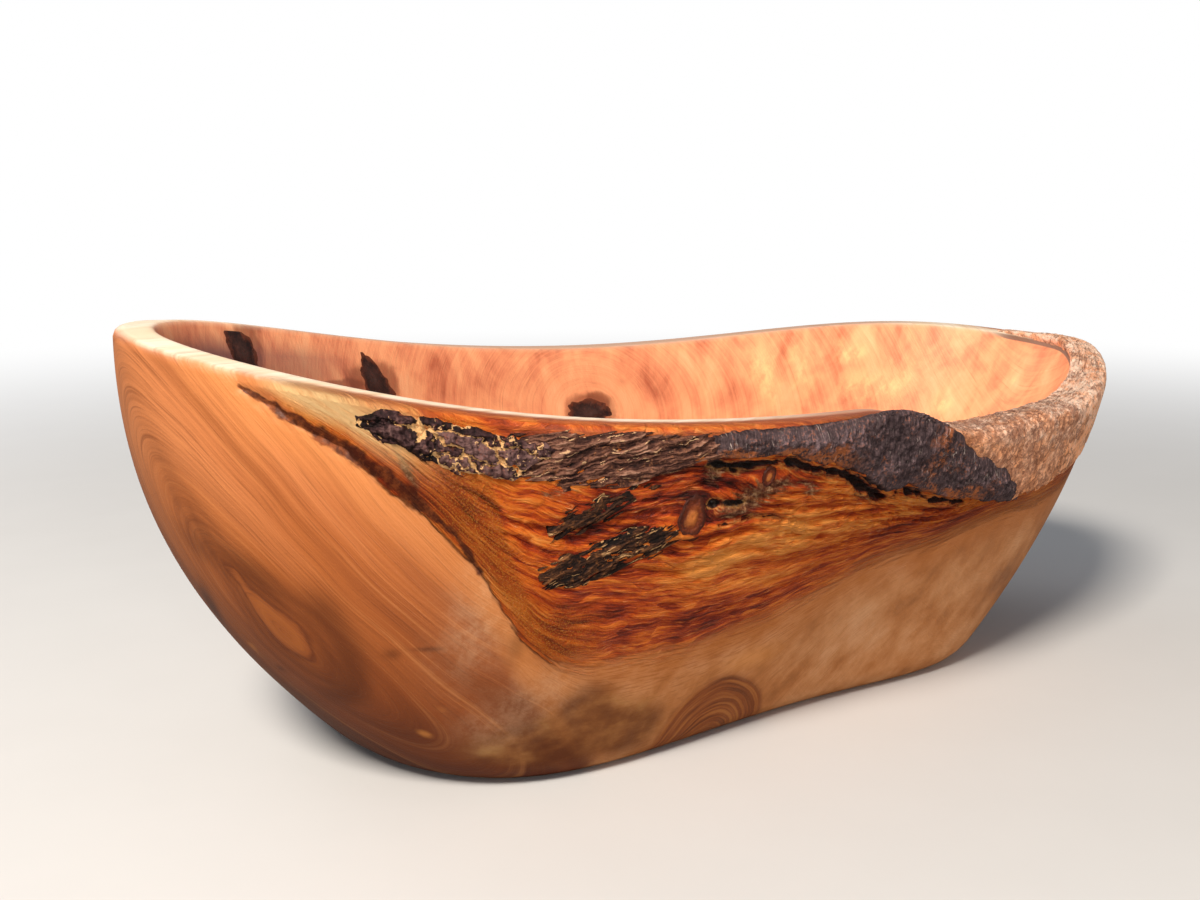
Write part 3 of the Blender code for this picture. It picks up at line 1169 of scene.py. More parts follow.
    def natural(self, pad: NodePad, cloud: Socket) -> dict[str, Socket]:
        """The unsanded wood under the bark: torn flakes along the fibre, with beads at the left.

        Args:
            pad: the finish's nodes.
            cloud: soft clouds.

        Returns:
            Its colour, how high its surface is, and its streaks and hairs.
        """
        run, flow = pad.measure("run"), pad.measure("flow")
        warp = pad.swing(pad.clouds(50.0, 2.0), 6.5)
        quiver = pad.swing(pad.clouds(380.0, 3.0), 0.45)
        level = pad.plus(flow, warp, quiver)
        streak = pad.streaks((level, 0.38), (run, 0.042), 6.0, 0.72)
        hair = pad.step(pad.streaks((level, 1.30), (run, 0.10), 5.0, 0.74), 0.26, 0.74)
        chips = pad.trio(pad.times(level, 0.55), pad.times(run, 0.13))
        flake = pad.parts(pad.pebbles(chips, 1.0, output="Color"))[0]
        rift = pad.step(pad.pebbles(chips, 1.0, "DISTANCE_TO_EDGE"), 0.0, 0.10)
        value = pad.plus(
            pad.times(streak, 0.44), pad.times(hair, 0.20), pad.times(cloud, 0.30), pad.times(flake, 0.12),
            # Colour follows the relief: painted highlight on the ridges, painted shade in the hollows and
            # cracks
            pad.swing(pad.measure("relief"), 0.30), pad.times(pad.measure("glow"), 0.22),
            # The same darker patches, partly painted shade, darken the natural wood too
            pad.times(pad.measure("stain"), -0.16),
        )
        colour = pad.ramp(value, *zip((0.28, 0.38, 0.475, 0.57, 0.70), self.wild))
        upper = pad.step(flow, 12.0, 26.0)
        colour = pad.over(colour, self.torn, pad.rest(rift), upper, pad.step(cloud, 0.40, 0.60), 0.22)
        deep = pad.step(streak, 0.56, 0.42)
        colour = pad.over(colour, self.string, pad.step(hair, 0.66, 0.86), deep, 0.40)
        sparse = pad.step(pad.clouds(170.0, 3.0), 0.46, 0.58)
        colour = pad.over(colour, self.glint, pad.step(hair, 0.88, 0.97), sparse, 0.6)
        crumb, grains = pad.measure("crumb"), pad.clouds(520.0, 6.0, 0.78)
        crumbly = pad.plus(crumb, pad.swing(hair, pad.step(crumb, 0.0, 0.3), 0.8))
        colour = pad.over(colour, pad.ramp(grains, *self.loose), pad.step(crumbly, 0.30, 0.62), 0.85)
        beady, bead = pad.measure("bead"), pad.pebbles(pad.place, 2300.0)
        colour = pad.over(colour, self.bead_shade, beady, 0.45)
        colour = pad.over(colour, self.bead_light, beady, pad.step(bead, 0.50, 0.20), 0.55)
        height = pad.plus(
            pad.times(streak, 0.8), pad.times(hair, 0.6), pad.times(flake, rift, upper, 0.35),
            pad.times(crumb, grains, 0.9), pad.times(beady, bead, -0.35),
        )
        return {"colour": colour, "height": height, "streak": streak, "hair": hair}

    def borders(self, pad: NodePad, streak: Socket) -> tuple[Socket, Socket, Socket]:
        """Where the natural edge lies.

        Args:
            pad: the finish's nodes.
            streak: streaks of the natural wood, which make its border ragged.

        Returns:
            The part of the natural wood, the part of the sapwood's side, and the dark line.
        """
        run = pad.measure("run")
        sapward = pad.step(run, self.corner - 9.0, self.corner + 14.0)
        ragged = pad.plus(
            pad.measure("lift"), pad.swing(streak, pad.blend(sapward, 1.6, 16.0)),
            pad.swing(pad.clouds(90.0, 3.0), pad.blend(sapward, 7.0, 2.0)),
        )
        natural = pad.blend(sapward, pad.step(ragged, -0.3, 0.5), pad.step(ragged, -3.5, 3.5))
        grown = pad.step(run, self.start, self.start + 16.0)
        natural = pad.times(natural, pad.blend(grown, 0.15, 1.0))
        line = pad.times(pad.band(ragged, 0.0, 0.9), pad.rest(sapward), grown)
        return natural, sapward, line

    def scarred(
        self, pad: NodePad, colour: Socket, wild: dict[str, Socket],
        borders: tuple[Socket, Socket, Socket],
    ) -> Socket:
        """Lay the pale wedge, the dark line, the groove, the clefts and the brink over the wall.

        Args:
            pad: the finish's nodes.
            colour: the wall's colour.
            wild: the natural wood.
            borders: where it lies.

        Returns:
            The new colour.
        """
        natural, sapward, line = borders
        lift, streak, hair = pad.measure("lift"), wild["streak"], wild["hair"]
        flaked = pad.plus(0.50, pad.times(hair, 0.40), pad.times(pad.step(streak, 0.38, 0.54), 0.45))
        colour = pad.over(colour, self.wedge, pad.measure("pale"), pad.step(lift, 2.0, 6.0), flaked)
        beside = pad.times(pad.step(lift, -15.0, -1.0), pad.rest(sapward), pad.rest(natural))
        colour = pad.over(colour, self.beside_line, beside, 0.32)
        colour = pad.over(colour, self.line, line, 0.6)
        groove = pad.plus(pad.measure("groove"), pad.swing(streak, 0.8))
        rust = pad.mix(pad.step(pad.clouds(420.0, 5.0, 0.7), 0.42, 0.66), *self.rust)
        colour = pad.over(colour, rust, pad.step(groove, 0.25, 0.70), 0.92)
        split = pad.measure("cleft")
        cleft = pad.plus(split, pad.swing(hair, pad.step(split, 0.0, 0.3), 0.7))
        colour = pad.over(colour, self.cleft_lip, pad.band(cleft, 0.20, 0.17), 0.6)
        # Very dark floor of the cracks: painted shade
        colour = pad.over(colour, self.painted_cleft_shade, pad.step(cleft, 0.30, 0.55), 0.95)
        fibrous = pad.plus(0.5, pad.times(streak, 0.5))
        return pad.over(colour, self.brink, pad.measure("brink"), natural, fibrous, 0.75)

    def rimmed(
        self, pad: NodePad, colour: Socket, rings: dict[str, Socket], cloud: Socket, natural: Socket
    ) -> Socket:
        """Lay the rim over the wall.

        Args:
            pad: the finish's nodes.
            colour: the wall's colour.
            rings: the growth rings about the eye.
            cloud: soft clouds.
            natural: the part of the natural wood.

        Returns:
            The new colour.
        """
        across = pad.measure("across")
        colour = pad.over(colour, self.rim_natural, pad.step(across, 0.0, 0.12), natural, 0.65)
        brow = pad.plus(across, pad.swing(rings["lines"], 0.25))
        # Pale top of the rim, partly painted highlight
        top = pad.mix(pad.step(rings["lines"], 0.35, 0.65), *self.rim)
        top = pad.over(top, self.rim_pore, pad.step(rings["pores"], 0.50, 0.72), 0.35)
        pale = pad.blend(natural, pad.step(brow, -0.02, 0.26), pad.step(brow, 0.24, 0.62))
        colour = pad.over(colour, top, pale, pad.step(across, 0.0, 0.08))
        lined = pad.plus(0.45, pad.times(rings["lines"], 0.6))
        colour = pad.over(colour, self.rim_ruddy, pad.measure("ruddy"), lined, 0.9)
        inmost = pad.step(pad.plus(across, pad.times(cloud, 0.1)), 0.90, 1.0)
        return pad.over(colour, self.rim_edging, pad.measure("corky"), inmost, 0.85)

    def make(self) -> bpy.types.Material:
        """Build the finish.

        Returns:
            The material.
        """
        pad = NodePad("olive_wood")
        across = pad.measure("across")
        cloud = pad.clouds(45.0, 4.0, 0.6)
        grit = pad.clouds(1500.0, 2.0)
        rings = self.rings(pad, self.eye)
        wild = self.natural(pad, cloud)
        borders = self.borders(pad, wild["streak"])
        natural = borders[0]
        colour = pad.mix(natural, self.sanded(pad, rings, cloud, grit), wild["colour"])
        colour = self.scarred(pad, colour, wild, borders)
        colour = self.rimmed(pad, colour, rings, cloud, natural)
        inside = pad.step(across, pad.blend(pad.measure("corky"), 0.86, 0.985), 1.0)
        colour = pad.mix(inside, colour, self.hollow_wood(pad, cloud))
        rough = pad.times(natural, pad.step(across, 0.45, 0.10))
        gloss = pad.blend(rough, pad.plus(0.40, pad.times(cloud, 0.16)), 0.46)
        fibre, pores = pad.times(rough, wild["height"]), pad.times(rings["pores"], 0.10)
        pad.bump(pad.plus(fibre, pores, pad.times(grit, 0.06)), self.bump_height, self.bump_strength)
        return pad.dress(colour, gloss, self.specular)


class BarkKind(Enum):
    """How a piece of bark has grown."""

    SCALY = "scaly"
    THICK = "thick"
    STRINGY = "stringy"
    CORKY = "corky"


# Streaks of the bark per millimetre, along and up the wall
BARK_GRAIN = {
    BarkKind.SCALY: (0.8, 0.5), BarkKind.THICK: (2.2, 0.16),
    BarkKind.STRINGY: (0.16, 1.7), BarkKind.CORKY: (0.50, 0.65),
}


@dataclass(frozen=True)
class BarkFinish:
    """Dry bark: body colours from the deepest to the highest, lighter on its ridges as painted highlight
    and darker in its hollows as painted shade, and those of its cracks and flecks.
    """

    name: str
    kind: BarkKind
    tones: tuple[str, str, str, str]
    crack: str
    fleck: str
    shade: str = "#6e453a"
    roughness: float = 0.72
    specular: float = 0.18
    bump_height: float = 0.0011
    bump_strength: float = 0.9

    def scratches(self, pad: NodePad) -> Socket:
        """Thin upright scratches of thick bark.

        Args:
            pad: the finish's nodes.

        Returns:
            How strongly they show.
        """
        scratch = pad.streaks((pad.measure("run"), 3.4), (pad.measure("height"), 0.30), 2.0)
        sparse = pad.step(pad.clouds(210.0, 3.0), 0.44, 0.60)
        worn = pad.plus(0.45, pad.times(pad.measure("crack"), 0.55))
        return pad.times(pad.step(scratch, 0.60, 0.70), sparse, worn)

    def corked(self, pad: NodePad, colour: Socket, blotch: Socket) -> Socket:
        """Lay warm patches and dark ones over a cork's colour.

        Args:
            pad: the finish's nodes.
            colour: the cork's colour.
            blotch: its blotches.

        Returns:
            The new colour.
        """
        warm = pad.step(pad.clouds(170.0, 5.0, 0.65), 0.46, 0.60)
        colour = pad.over(colour, self.fleck, warm, 0.55)
        colour = pad.over(colour, self.fleck, pad.step(pad.measure("up"), 0.36, 0.0), 0.7)
        return pad.over(colour, self.shade, pad.measure("crack"), pad.step(blotch, 0.62, 0.44), 0.60)

    def cork_cracks(self, pad: NodePad) -> Socket:
        """Seams between the cork's lumps, and dark specks.

        Args:
            pad: the finish's nodes.

        Returns:
            How strongly they show.
        """
        bent = pad.shifted(pad.place, pad.noise(pad.place, 260.0, 3.0, colour=True), 0.004)
        seam = pad.step(pad.pebbles(bent, 330.0, "DISTANCE_TO_EDGE"), 0.07, 0.01)
        sparse = pad.step(pad.clouds(120.0, 3.0), 0.42, 0.56)
        specks = pad.plus(pad.clouds(620.0, 4.0, 0.7), pad.times(pad.measure("crack"), 0.06))
        speckled = pad.times(pad.step(specks, 0.57, 0.66), 0.52)
        return pad.sum("MAXIMUM", pad.times(seam, sparse, 0.75), speckled)

    def make(self) -> bpy.types.Material:
        """Build the finish.

        Returns:
            The material.
        """
        pad = NodePad(self.name)
        tint = pad.measure("tint")
        corky = self.kind is BarkKind.CORKY
        along, up = BARK_GRAIN[self.kind]
        streak = pad.streaks((pad.measure("run"), along), (pad.measure("height"), up), 6.0, 0.66)
        grit = pad.clouds(1100.0, 3.0, 0.65)
        blotch = pad.clouds(430.0 if corky else 150.0, 8.0, 0.74)
        parts = (0.14, 0.66, 0.20) if corky else (0.40, 0.34, 0.26)
        toned = 0.0 if self.kind is BarkKind.THICK else 0.20
        value = pad.plus(
            pad.times(streak, parts[0]), pad.times(blotch, parts[1]), pad.times(grit, parts[2]),
            # Colour follows the relief: painted highlight on ridges, painted shade in hollows
            pad.swing(pad.measure("relief"), 0.26), pad.swing(tint, toned),
        )
        colour = pad.ramp(value, *zip((0.33, 0.45, 0.56, 0.70), self.tones))
        dense = pad.step(blotch, 0.45, 0.60)
        colour = pad.over(colour, self.fleck, pad.step(grit, 0.52, 0.66), dense, 0.55)
        if self.kind is BarkKind.THICK:
            rusty = pad.step(pad.plus(blotch, grit), 0.86, 1.08)
            colour = pad.over(colour, self.fleck, tint, rusty, 0.85)
            split = self.scratches(pad)
        elif corky:
            colour = self.corked(pad, colour, blotch)
            split = self.cork_cracks(pad)
        else:
            split = pad.step(pad.plus(pad.measure("crack"), pad.swing(blotch, 0.75)), 0.35, 0.65)
        colour = pad.over(colour, self.crack, split, 0.85)
        height = pad.plus(pad.times(streak, 0.5), pad.times(grit, 0.35), pad.times(blotch, 0.3))
        pad.bump(height, self.bump_height, self.bump_strength)
        return pad.dress(colour, self.roughness, self.specular)


@dataclass(frozen=True)
class PlugFinish:
    """Knot wood with rings, or the dark wood of an inclusion."""

    name: str
    tones: tuple[str, str, str]
    ring: str
    rings: float
    core: str
    border: str
    roughness: float = 0.5
    specular: float = 0.25
    bump_height: float = 0.0005
    bump_strength: float = 0.7

    def make(self) -> bpy.types.Material:
        """Build the finish.

        Returns:
            The material.
        """
        pad = NodePad(self.name)
        cloud = pad.clouds(260.0, 5.0, 0.65)
        grit = pad.clouds(1300.0, 2.0)
        value = pad.plus(pad.times(cloud, 0.75), pad.times(grit, 0.25))
        colour = pad.ramp(value, *zip((0.34, 0.5, 0.68), self.tones))
        turned = pad.plus(pad.measure("radius"), pad.swing(cloud, 0.9))
        wave = pad.sum("SINE", pad.times(turned, self.rings * math.tau))
        colour = pad.over(colour, self.ring, pad.step(wave, 0.1, 0.9), 0.62)
        colour = pad.over(colour, self.core, pad.step(turned, 0.44, 0.16), 0.75)
        colour = pad.over(colour, self.border, pad.step(turned, 0.58, 0.95), 0.9)
        height = pad.plus(pad.times(wave, 0.3), cloud, pad.times(grit, 0.4))
        pad.bump(height, self.bump_height, self.bump_strength)
        return pad.dress(colour, self.roughness, self.specular)


# The bowl's pieces


@dataclass(frozen=True)
class Fissure:
    """A crack in the natural edge, with its depth and half width in millimetres."""

    depth: float
    half: float
    # How strongly the crack's floor is painted very dark, as painted shade
    painted_shade: float
    line: tuple[tuple[float, float], ...]


FISSURES = (
    Fissure(2.6, 1.1, 1.0, (
        (251.0, 0.917), (253.8, 0.903), (256.2, 0.903), (258.8, 0.907), (261.2, 0.879),
        (263.0, 0.867), (265.5, 0.846), (267.5, 0.815), (269.8, 0.777), (271.2, 0.753),
    )),
    Fissure(2.0, 0.7, 1.0, (
        (271.2, 0.752), (272.8, 0.768), (274.2, 0.789), (276.5, 0.785),
        (279.2, 0.778), (282.0, 0.781), (285.0, 0.770),
    )),
    Fissure(1.6, 0.9, 1.0, ((251.7, 0.802), (254.8, 0.798))),
    Fissure(0.8, 2.0, 0.0, (
        (205.5, 0.998), (210.2, 0.964), (214.5, 0.930), (218.3, 0.894), (221.7, 0.836),
    )),
    Fissure(1.0, 0.7, 0.55, ((252.5, 0.735), (256.0, 0.752), (259.5, 0.74))),
)


# Brown grooves beside the dark line: half width in millimetres, strength and stations
GROOVES = (
    (0.7, 1.0, ((205.5, 0.990), (208.0, 0.974), (210.2, 0.957))),
    (1.2, 1.1, ((209.5, 0.962), (212.3, 0.940), (214.5, 0.922))),
    (1.8, 1.1, ((214.0, 0.926), (216.5, 0.902), (218.3, 0.884))),
    (2.2, 0.85, ((217.5, 0.892), (221.0, 0.846), (223.6, 0.796))),
    (1.1, 0.8, ((223.0, 0.806), (226.4, 0.730), (228.0, 0.640))),
)


@dataclass
class Skin:
    """The bowl's skin as arrays, with a row for each ring and a column for each angle."""

    turns: Array
    points: Array
    shares: Array
    across: Array
    relief: Array
    cleft: Array
    hollow: Array


@dataclass
class BowlBody:
    """The carved wood, as one closed skin from the foot over the rim into the hollow."""

    wall: WallForm
    chart: WallChart
    finish: OliveWood
    # Columns as first angle, last angle and count, closest together on the natural edge
    spans: tuple[tuple[float, float, int], ...] = (
        (90, 200, 60), (200, 300, 420), (300, 372, 66), (372, 450, 36),
    )
    foot_rows: tuple[float, ...] = (0.0, 0.45, 0.9, 1.0)
    round_rows: tuple[float, ...] = (0.004, 0.02, 0.045)
    sanded_rows: tuple[float, float, int] = (0.07, 0.36, 15)
    natural_rows: tuple[float, float, int] = (0.366, 1.0, 108)
    rim_rows: tuple[float, ...] = (0.04, 0.1, 0.18, 0.3, 0.42, 0.54, 0.66, 0.78, 0.88, 0.95, 1.0)
    hollow_rows: int = 26
    tool_marks: float = 0.16
    relief_span: float = 2.4
    # Marks of the outer wall
    # Darker patches: partly real staining, partly painted shade low on the wall and at the left
    stains_and_shade: tuple[Patch, ...] = patches(
        (190, 0.60, 9, 5, -38, 0.55), (200, 0.565, 12, 5, -35, 0.75), (208, 0.50, 10, 6, -62, 0.65),
        (207, 0.37, 6, 9, 0, 0.6), (201, 0.27, 9, 6, 30, 0.55), (188, 0.2, 14, 7, 15, 0.45),
        (182, 0.42, 4, 11, -28, 1.0), (190, 0.305, 5, 1.2, -20, 0.9), (219, 0.43, 4.5, 0.8, 4, 0.8),
        (222.5, 0.331, 4, 0.5, 5, 0.9), (214, 0.41, 2.5, 2.0, 0, 0.6), (229.5, 0.44, 2, 4, 0, 0.7),
        (224, 0.13, 12, 4, 8, 0.5), (235, 0.10, 8, 3, 5, 0.45), (227, 0.27, 5, 4, 0, 0.4),
        (240, 0.50, 18, 9, 12, 0.9), (251, 0.44, 16, 5, 14, 0.7), (262, 0.50, 15, 4, 22, 0.5),
        (240.5, 0.79, 14, 5, 28, 0.5), (241.5, 0.665, 16, 5, 22, 0.6), (254, 0.775, 7, 5, 0, 0.6),
        (249.0, 0.775, 8, 9, 0, 0.8), (240, 0.835, 15, 4, 6, 0.8), (248.5, 0.875, 9, 7, 15, 1.0),
        (227, 0.80, 10, 4, -48, 0.5), (253, 0.86, 6, 6, 0, 0.7), (228, 0.82, 8, 5, -25, 0.4),
        (262, 0.80, 9, 3, -20, 0.4), (275, 0.67, 16, 2.4, 20, 0.9), (288, 0.715, 14, 1.8, 8, 0.9),
        (266.0, 0.285, 2.4, 1.8, 0, 0.3),
    )
    glows: tuple[Patch, ...] = patches(
        (253, 0.635, 14, 4.5, 18, 1.0), (262, 0.70, 12, 5, 10, 0.6), (215, 0.982, 14, 4, -16, 1.0),
        (224, 0.93, 5, 3, -35, 0.8), (259, 0.27, 13, 5, 0, 0.65), (187, 0.335, 4.5, 1.7, -42, 0.9),
        (215.7, 0.248, 2.0, 0.9, -8, 1.0), (209.7, 0.174, 2.6, 1.1, -25, 1.0),
        (244, 0.69, 9, 3, 22, 0.4),
    )
    pales: tuple[Patch, ...] = patches(
        (214, 0.985, 19, 6, -16, 1.2), (223, 0.955, 7, 4, -30, 0.7),
    )
    frosts: tuple[Patch, ...] = patches(
        (226.5, 0.50, 8, 14, -20, 1.0), (231, 0.30, 9, 8, -10, 1.0), (221, 0.20, 9, 8, 0, 0.7),
        (228, 0.63, 5, 7, -25, 0.6), (275, 0.32, 18, 10, 10, 0.45), (295, 0.42, 16, 14, 20, 0.4),
        (310, 0.35, 14, 14, 0, 0.35),
    )
    crumbs: tuple[Patch, ...] = patches(
        (254.6, 0.795, 6.5, 4.5, 10, 0.8), (257.6, 0.838, 5.5, 3.0, 0, 0.8),
        (262.0, 0.815, 6, 2.2, -25, 0.6), (251.5, 0.895, 3.0, 4.0, 0, 0.7),
        (222.8, 0.868, 6.5, 1.3, -52, 0.8), (247.0, 0.905, 8, 3, 12, 0.5),
        (236.5, 0.845, 6, 1.6, 5, 0.5), (268.5, 0.765, 6, 1.4, -18, 0.5),
    )
    spalts: tuple[Patch, ...] = patches(
        (222, 0.13, 13, 7, 5, 1.0), (232, 0.14, 13, 9, 0, 1.0), (241, 0.12, 10, 9, 0, 0.9),
        (236, 0.25, 9, 7, 0, 0.6),
    )
    # Marks of the hollow
    # Dark wood and painted shade at the left end of the hollow
    hollow_stains_and_shade: tuple[Patch, ...] = patches(
        (150, 0.985, 18, 18, 0, 0.55), (168, 0.985, 42, 34, 0, 0.50), (192, 0.985, 40, 32, 0, 0.50),
        (132, 0.975, 22, 16, 0, 0.52),
    )
    # Painted glints of light on the right of the hollow
    hollow_painted_glints: tuple[Patch, ...] = patches(
        (56, 0.94, 6, 16, -8, 1.0), (49, 0.94, 3.5, 14, -6, 0.9), (36, 0.90, 9, 6, 10, 1.0),
        (30, 0.90, 5, 5, 0, 0.9), (40, 0.965, 7, 4, 20, 1.0), (14, 0.88, 4, 6, 0, 1.0),
        (26, 0.93, 2.5, 8, 15, 0.9), (357, 0.95, 1.4, 8, -35, 0.7), (66, 0.93, 5, 10, -6, 0.5),
    )
    dome: Patch = Patch(251.5, 0.0, 19.5, 17.5, -3)
    eye: Patch = Patch(199.0, 0.43, 8.4, 4.2, -54)

    def columns(self) -> Array:
        """Angles of the columns, once round the bowl."""
        parts = [np.linspace(first, last, count, endpoint=False) for first, last, count in self.spans]
        return np.concatenate([*parts, [float(self.spans[-1][1])]])

    def rows(self) -> list[tuple[Side, float]]:
        """The rings of the skin in order, each with its face and its place on it.

        Returns:
            The rings, from the foot to the middle of the hollow.
        """
        walls = [*self.round_rows, *np.linspace(*self.sanded_rows), *np.linspace(*self.natural_rows)]
        hollow = [math.sqrt(1 - k / self.hollow_rows) for k in range(1, self.hollow_rows + 1)]
        rings = [(Side.FOOT, value) for value in self.foot_rows]
        rings += [(Side.OUTER, value) for value in walls]
        rings += [(Side.RIM, value) for value in self.rim_rows]
        return rings + [(Side.INNER, value) for value in hollow]

    def relief(self, angle: Array, share: Array) -> tuple[Array, Array, Array]:
        """Height of the natural edge's surface.

        Args:
            angle: angles of the points.
            share: their shares of the wall.

        Returns:
            The height in millimetres, the part that the natural edge has in it, and the clefts.
        """
        chart = self.chart
        run, lift = chart.run(angle), chart.lift(angle, share)
        high = chart.height(angle, share)
        level = chart.flow(angle, share) + 6.0 * ripple(run / 18, high / 10, 5, 3)
        streak = hills(run / 17, level / 1.9, 11)
        fine = ripple(run / 5, level / 0.8, 31, 3)
        reach = 4.0 + 6.0 * smooth(232, 240, angle)
        part = smooth(0.0, 1.0, lift / reach) * smooth(1.0, 0.975, share) * smooth(206, 218, angle)
        strength = 0.25 + 0.75 * smooth(14, 30, level)
        up = strength * (0.5 * fine - 0.9 * smooth(0.46, 0.64, 1 - streak)) + 0.2
        for spot, place, span in KNOTS:
            away = np.hypot(run - chart.run(spot), high - chart.height(spot, place)) / span
            part = part * smooth(0.45, 0.95, away)
        flakes, _ = cells(run / 8, level / 1.7, 71)
        up = up + strength * 0.35 * smooth(0.0, 0.3, flakes)
        cleft = np.zeros_like(up)
        below = smooth(1.0, 0.985, share)
        ragged = 2.8 * ripple(run / 2.2, high / 2.2, 61, 4)
        uneven = 0.5 + hills(run / 5, high / 9, 67, 3)
        for crack in FISSURES:
            away = chart.off_line(crack.line, angle, share) + ragged
            inside = np.exp(-((away / (crack.half * uneven)) ** 2)) * below
            up = up - crack.depth * inside
            # Where the crack's floor gets its painted shade
            cleft = np.maximum(cleft, inside * crack.painted_shade)
            part = np.maximum(part, np.exp(-((away / (2 * crack.half)) ** 2)) * below)
        return up * part, part, cleft

    def groove(self, angle: Array, share: Array) -> Array:
        """How near points are to the brown groove at the start of the dark line.

        Args:
            angle: angles of the points.
            share: their shares of the wall.

        Returns:
            The groove's strength at each point.
        """
        total = np.zeros(np.shape(share))
        run, high = self.chart.run(angle), self.chart.height(angle, share)
        ragged = 2.6 * ripple(run / 2.4, high / 1.8, 83, 4)
        for half, strength, line in GROOVES:
            away = self.chart.off_line(line, angle, share) + half * 0.5 * ragged
            total = np.maximum(total, strength * np.exp(-((away / half) ** 2)))
        return total

    def rolled(self, turns: Array, rings: list[tuple[Side, float]]) -> Skin:
        """Lay the rings one after another.

        Args:
            turns: angles of the columns.
            rings: the rings, each with its face and its place on it.

        Returns:
            The skin.
        """
        shape = (len(rings), len(turns))
        skin = Skin(
            turns=np.broadcast_to(turns, shape), points=np.zeros((*shape, 3)), shares=np.zeros(shape),
            across=np.zeros(shape), relief=np.full(shape, 0.5), cleft=np.zeros(shape),
            hollow=np.zeros(shape, bool),
        )
        for index, (face, value) in enumerate(rings):
            flat = np.full_like(turns, value)
            if face is Side.FOOT:
                skin.points[index] = self.wall.outer(turns, np.zeros_like(turns)) * (value, value, 1.0)
            elif face is Side.OUTER:
                up, part, skin.cleft[index] = self.relief(turns, flat)
                carved = self.tool_marks * ripple(turns / 9 + 40, flat * 6, 91, 2) * smooth(0, 0.2, value)
                normal = self.wall.facing(self.wall.outside, turns, np.minimum(flat, 0.994))
                raised = (up + carved * (1 - part)) / MM
                skin.points[index] = self.wall.outside(turns, flat) + normal * raised[:, None]
                skin.shares[index] = value
                skin.relief[index] = 0.5 + up / self.relief_span
            elif face is Side.RIM:
                skin.points[index] = self.wall.over_rim(turns, flat)
                skin.shares[index] = 1.0 + 0.1 * value
                skin.across[index] = value
            else:
                skin.points[index] = self.wall.inner(turns, flat)
                skin.shares[index] = value
                skin.across[index] = 1.0
                skin.hollow[index] = True
        skin.points[:, -1] = skin.points[:, 0]
        return skin

    def marks(self, skin: Skin) -> dict[str, Array]:
        """How strongly each kind of patch covers the skin.

        Args:
            skin: the bowl's skin.

        Returns:
            Strengths from 0 to 1, by the patch's kind.
        """
        points, shape = skin.points.reshape(-1, 3), skin.shares.shape
        made = {}
        # Golden patches outside and painted glints in the hollow share one measure
        for name, out, into in (
            ("stain", self.stains_and_shade, self.hollow_stains_and_shade), ("glow", self.glows, self.hollow_painted_glints),
            ("frost", self.frosts, ()), ("pale", self.pales, ()), ("spalt", self.spalts, ()),
            ("crumb", self.crumbs, ()),
        ):
            total = np.zeros(shape)
            for patch in out:
                total += np.where(skin.hollow, 0, patch.weight(self.wall.outside, points).reshape(shape))
            for patch in into:
                total += np.where(skin.hollow, patch.weight(self.wall.inner, points).reshape(shape), 0)
            made[name] = np.clip(total, 0, 1)
        return made

    def measures(self, skin: Skin) -> dict[str, Array]:
        """Measure the skin for its finish.

        Args:
            skin: the bowl's skin.

        Returns:
            What the finish reads, by name.
        """
        turns, shares, across, hollow = skin.turns, skin.shares, skin.across, skin.hollow
        points, shape = skin.points.reshape(-1, 3), shares.shape
        on_rim = across > 0
        dome_away = np.hypot(*self.dome.place(self.wall.outside, points)[:2]).reshape(shape)
        eye_run, eye_rise, _ = self.eye.place(self.wall.outside, points)
        slim = np.clip(1 + 0.35 * eye_run, 0.45, 1.0)
        eye_away = np.hypot(np.where(eye_run < 0, 0.5 * eye_run, eye_run), eye_rise / slim).reshape(shape)
        lift = self.chart.lift(turns, shares)
        # Grainy golden wood beside the dark line at the left
        beady = smooth(222, 228, turns) * smooth(243, 233, turns)
        ruddy = smooth(250, 268, turns) * smooth(292, 284, turns)
        back = smooth(150, 125, turns) + smooth(384, 400, turns)
        return {
            "lift": lift,
            "flow": self.chart.flow(turns, shares),
            "run": self.chart.run(turns),
            "height": self.chart.height(turns, shares),
            "across": across,
            "relief": np.clip(skin.relief, 0, 1),
            "sap": np.where(hollow, 0, smooth(222, 240, turns) * smooth(415, 375, turns)),
            "dome": np.where(hollow | (turns > 320) | (turns < 200), 5.0, dome_away),
            "bead": np.where(on_rim, 0, smooth(0, 3, lift) * smooth(20, 11, lift) * beady),
            "brink": np.where(on_rim, 0, smooth(0.955, 0.985, shares) * smooth(228, 240, turns)),
            "eye": np.where(hollow | (turns > 260), 9.0, eye_away),
            "cleft": skin.cleft,
            "groove": np.where(on_rim, 0, self.groove(turns, shares)),
            "corky": smooth(279, 288, turns) * smooth(374, 364, turns) * on_rim,
            "ruddy": (ruddy + 0.75 * back) * on_rim,
            **self.marks(skin),
        }

    def build(self) -> bpy.types.Object:
        """Make the piece.

        Returns:
            The piece, in place of its solid.
        """
        turns, rings = self.columns(), self.rows()
        mesh = grid_mesh("bowl_body_skin", len(turns) - 1, len(rings) - 1)
        column, row = grid_places(mesh, len(turns) - 1, len(rings) - 1)
        skin = self.rolled(turns, rings)
        measures = {name: values[row, column] for name, values in self.measures(skin).items()}
        lay(mesh, skin.points[row, column], measures)
        piece = finish_mesh("bowl_wood", mesh, self.finish.make(), MERGE)
        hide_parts("bowl_body")
        return piece


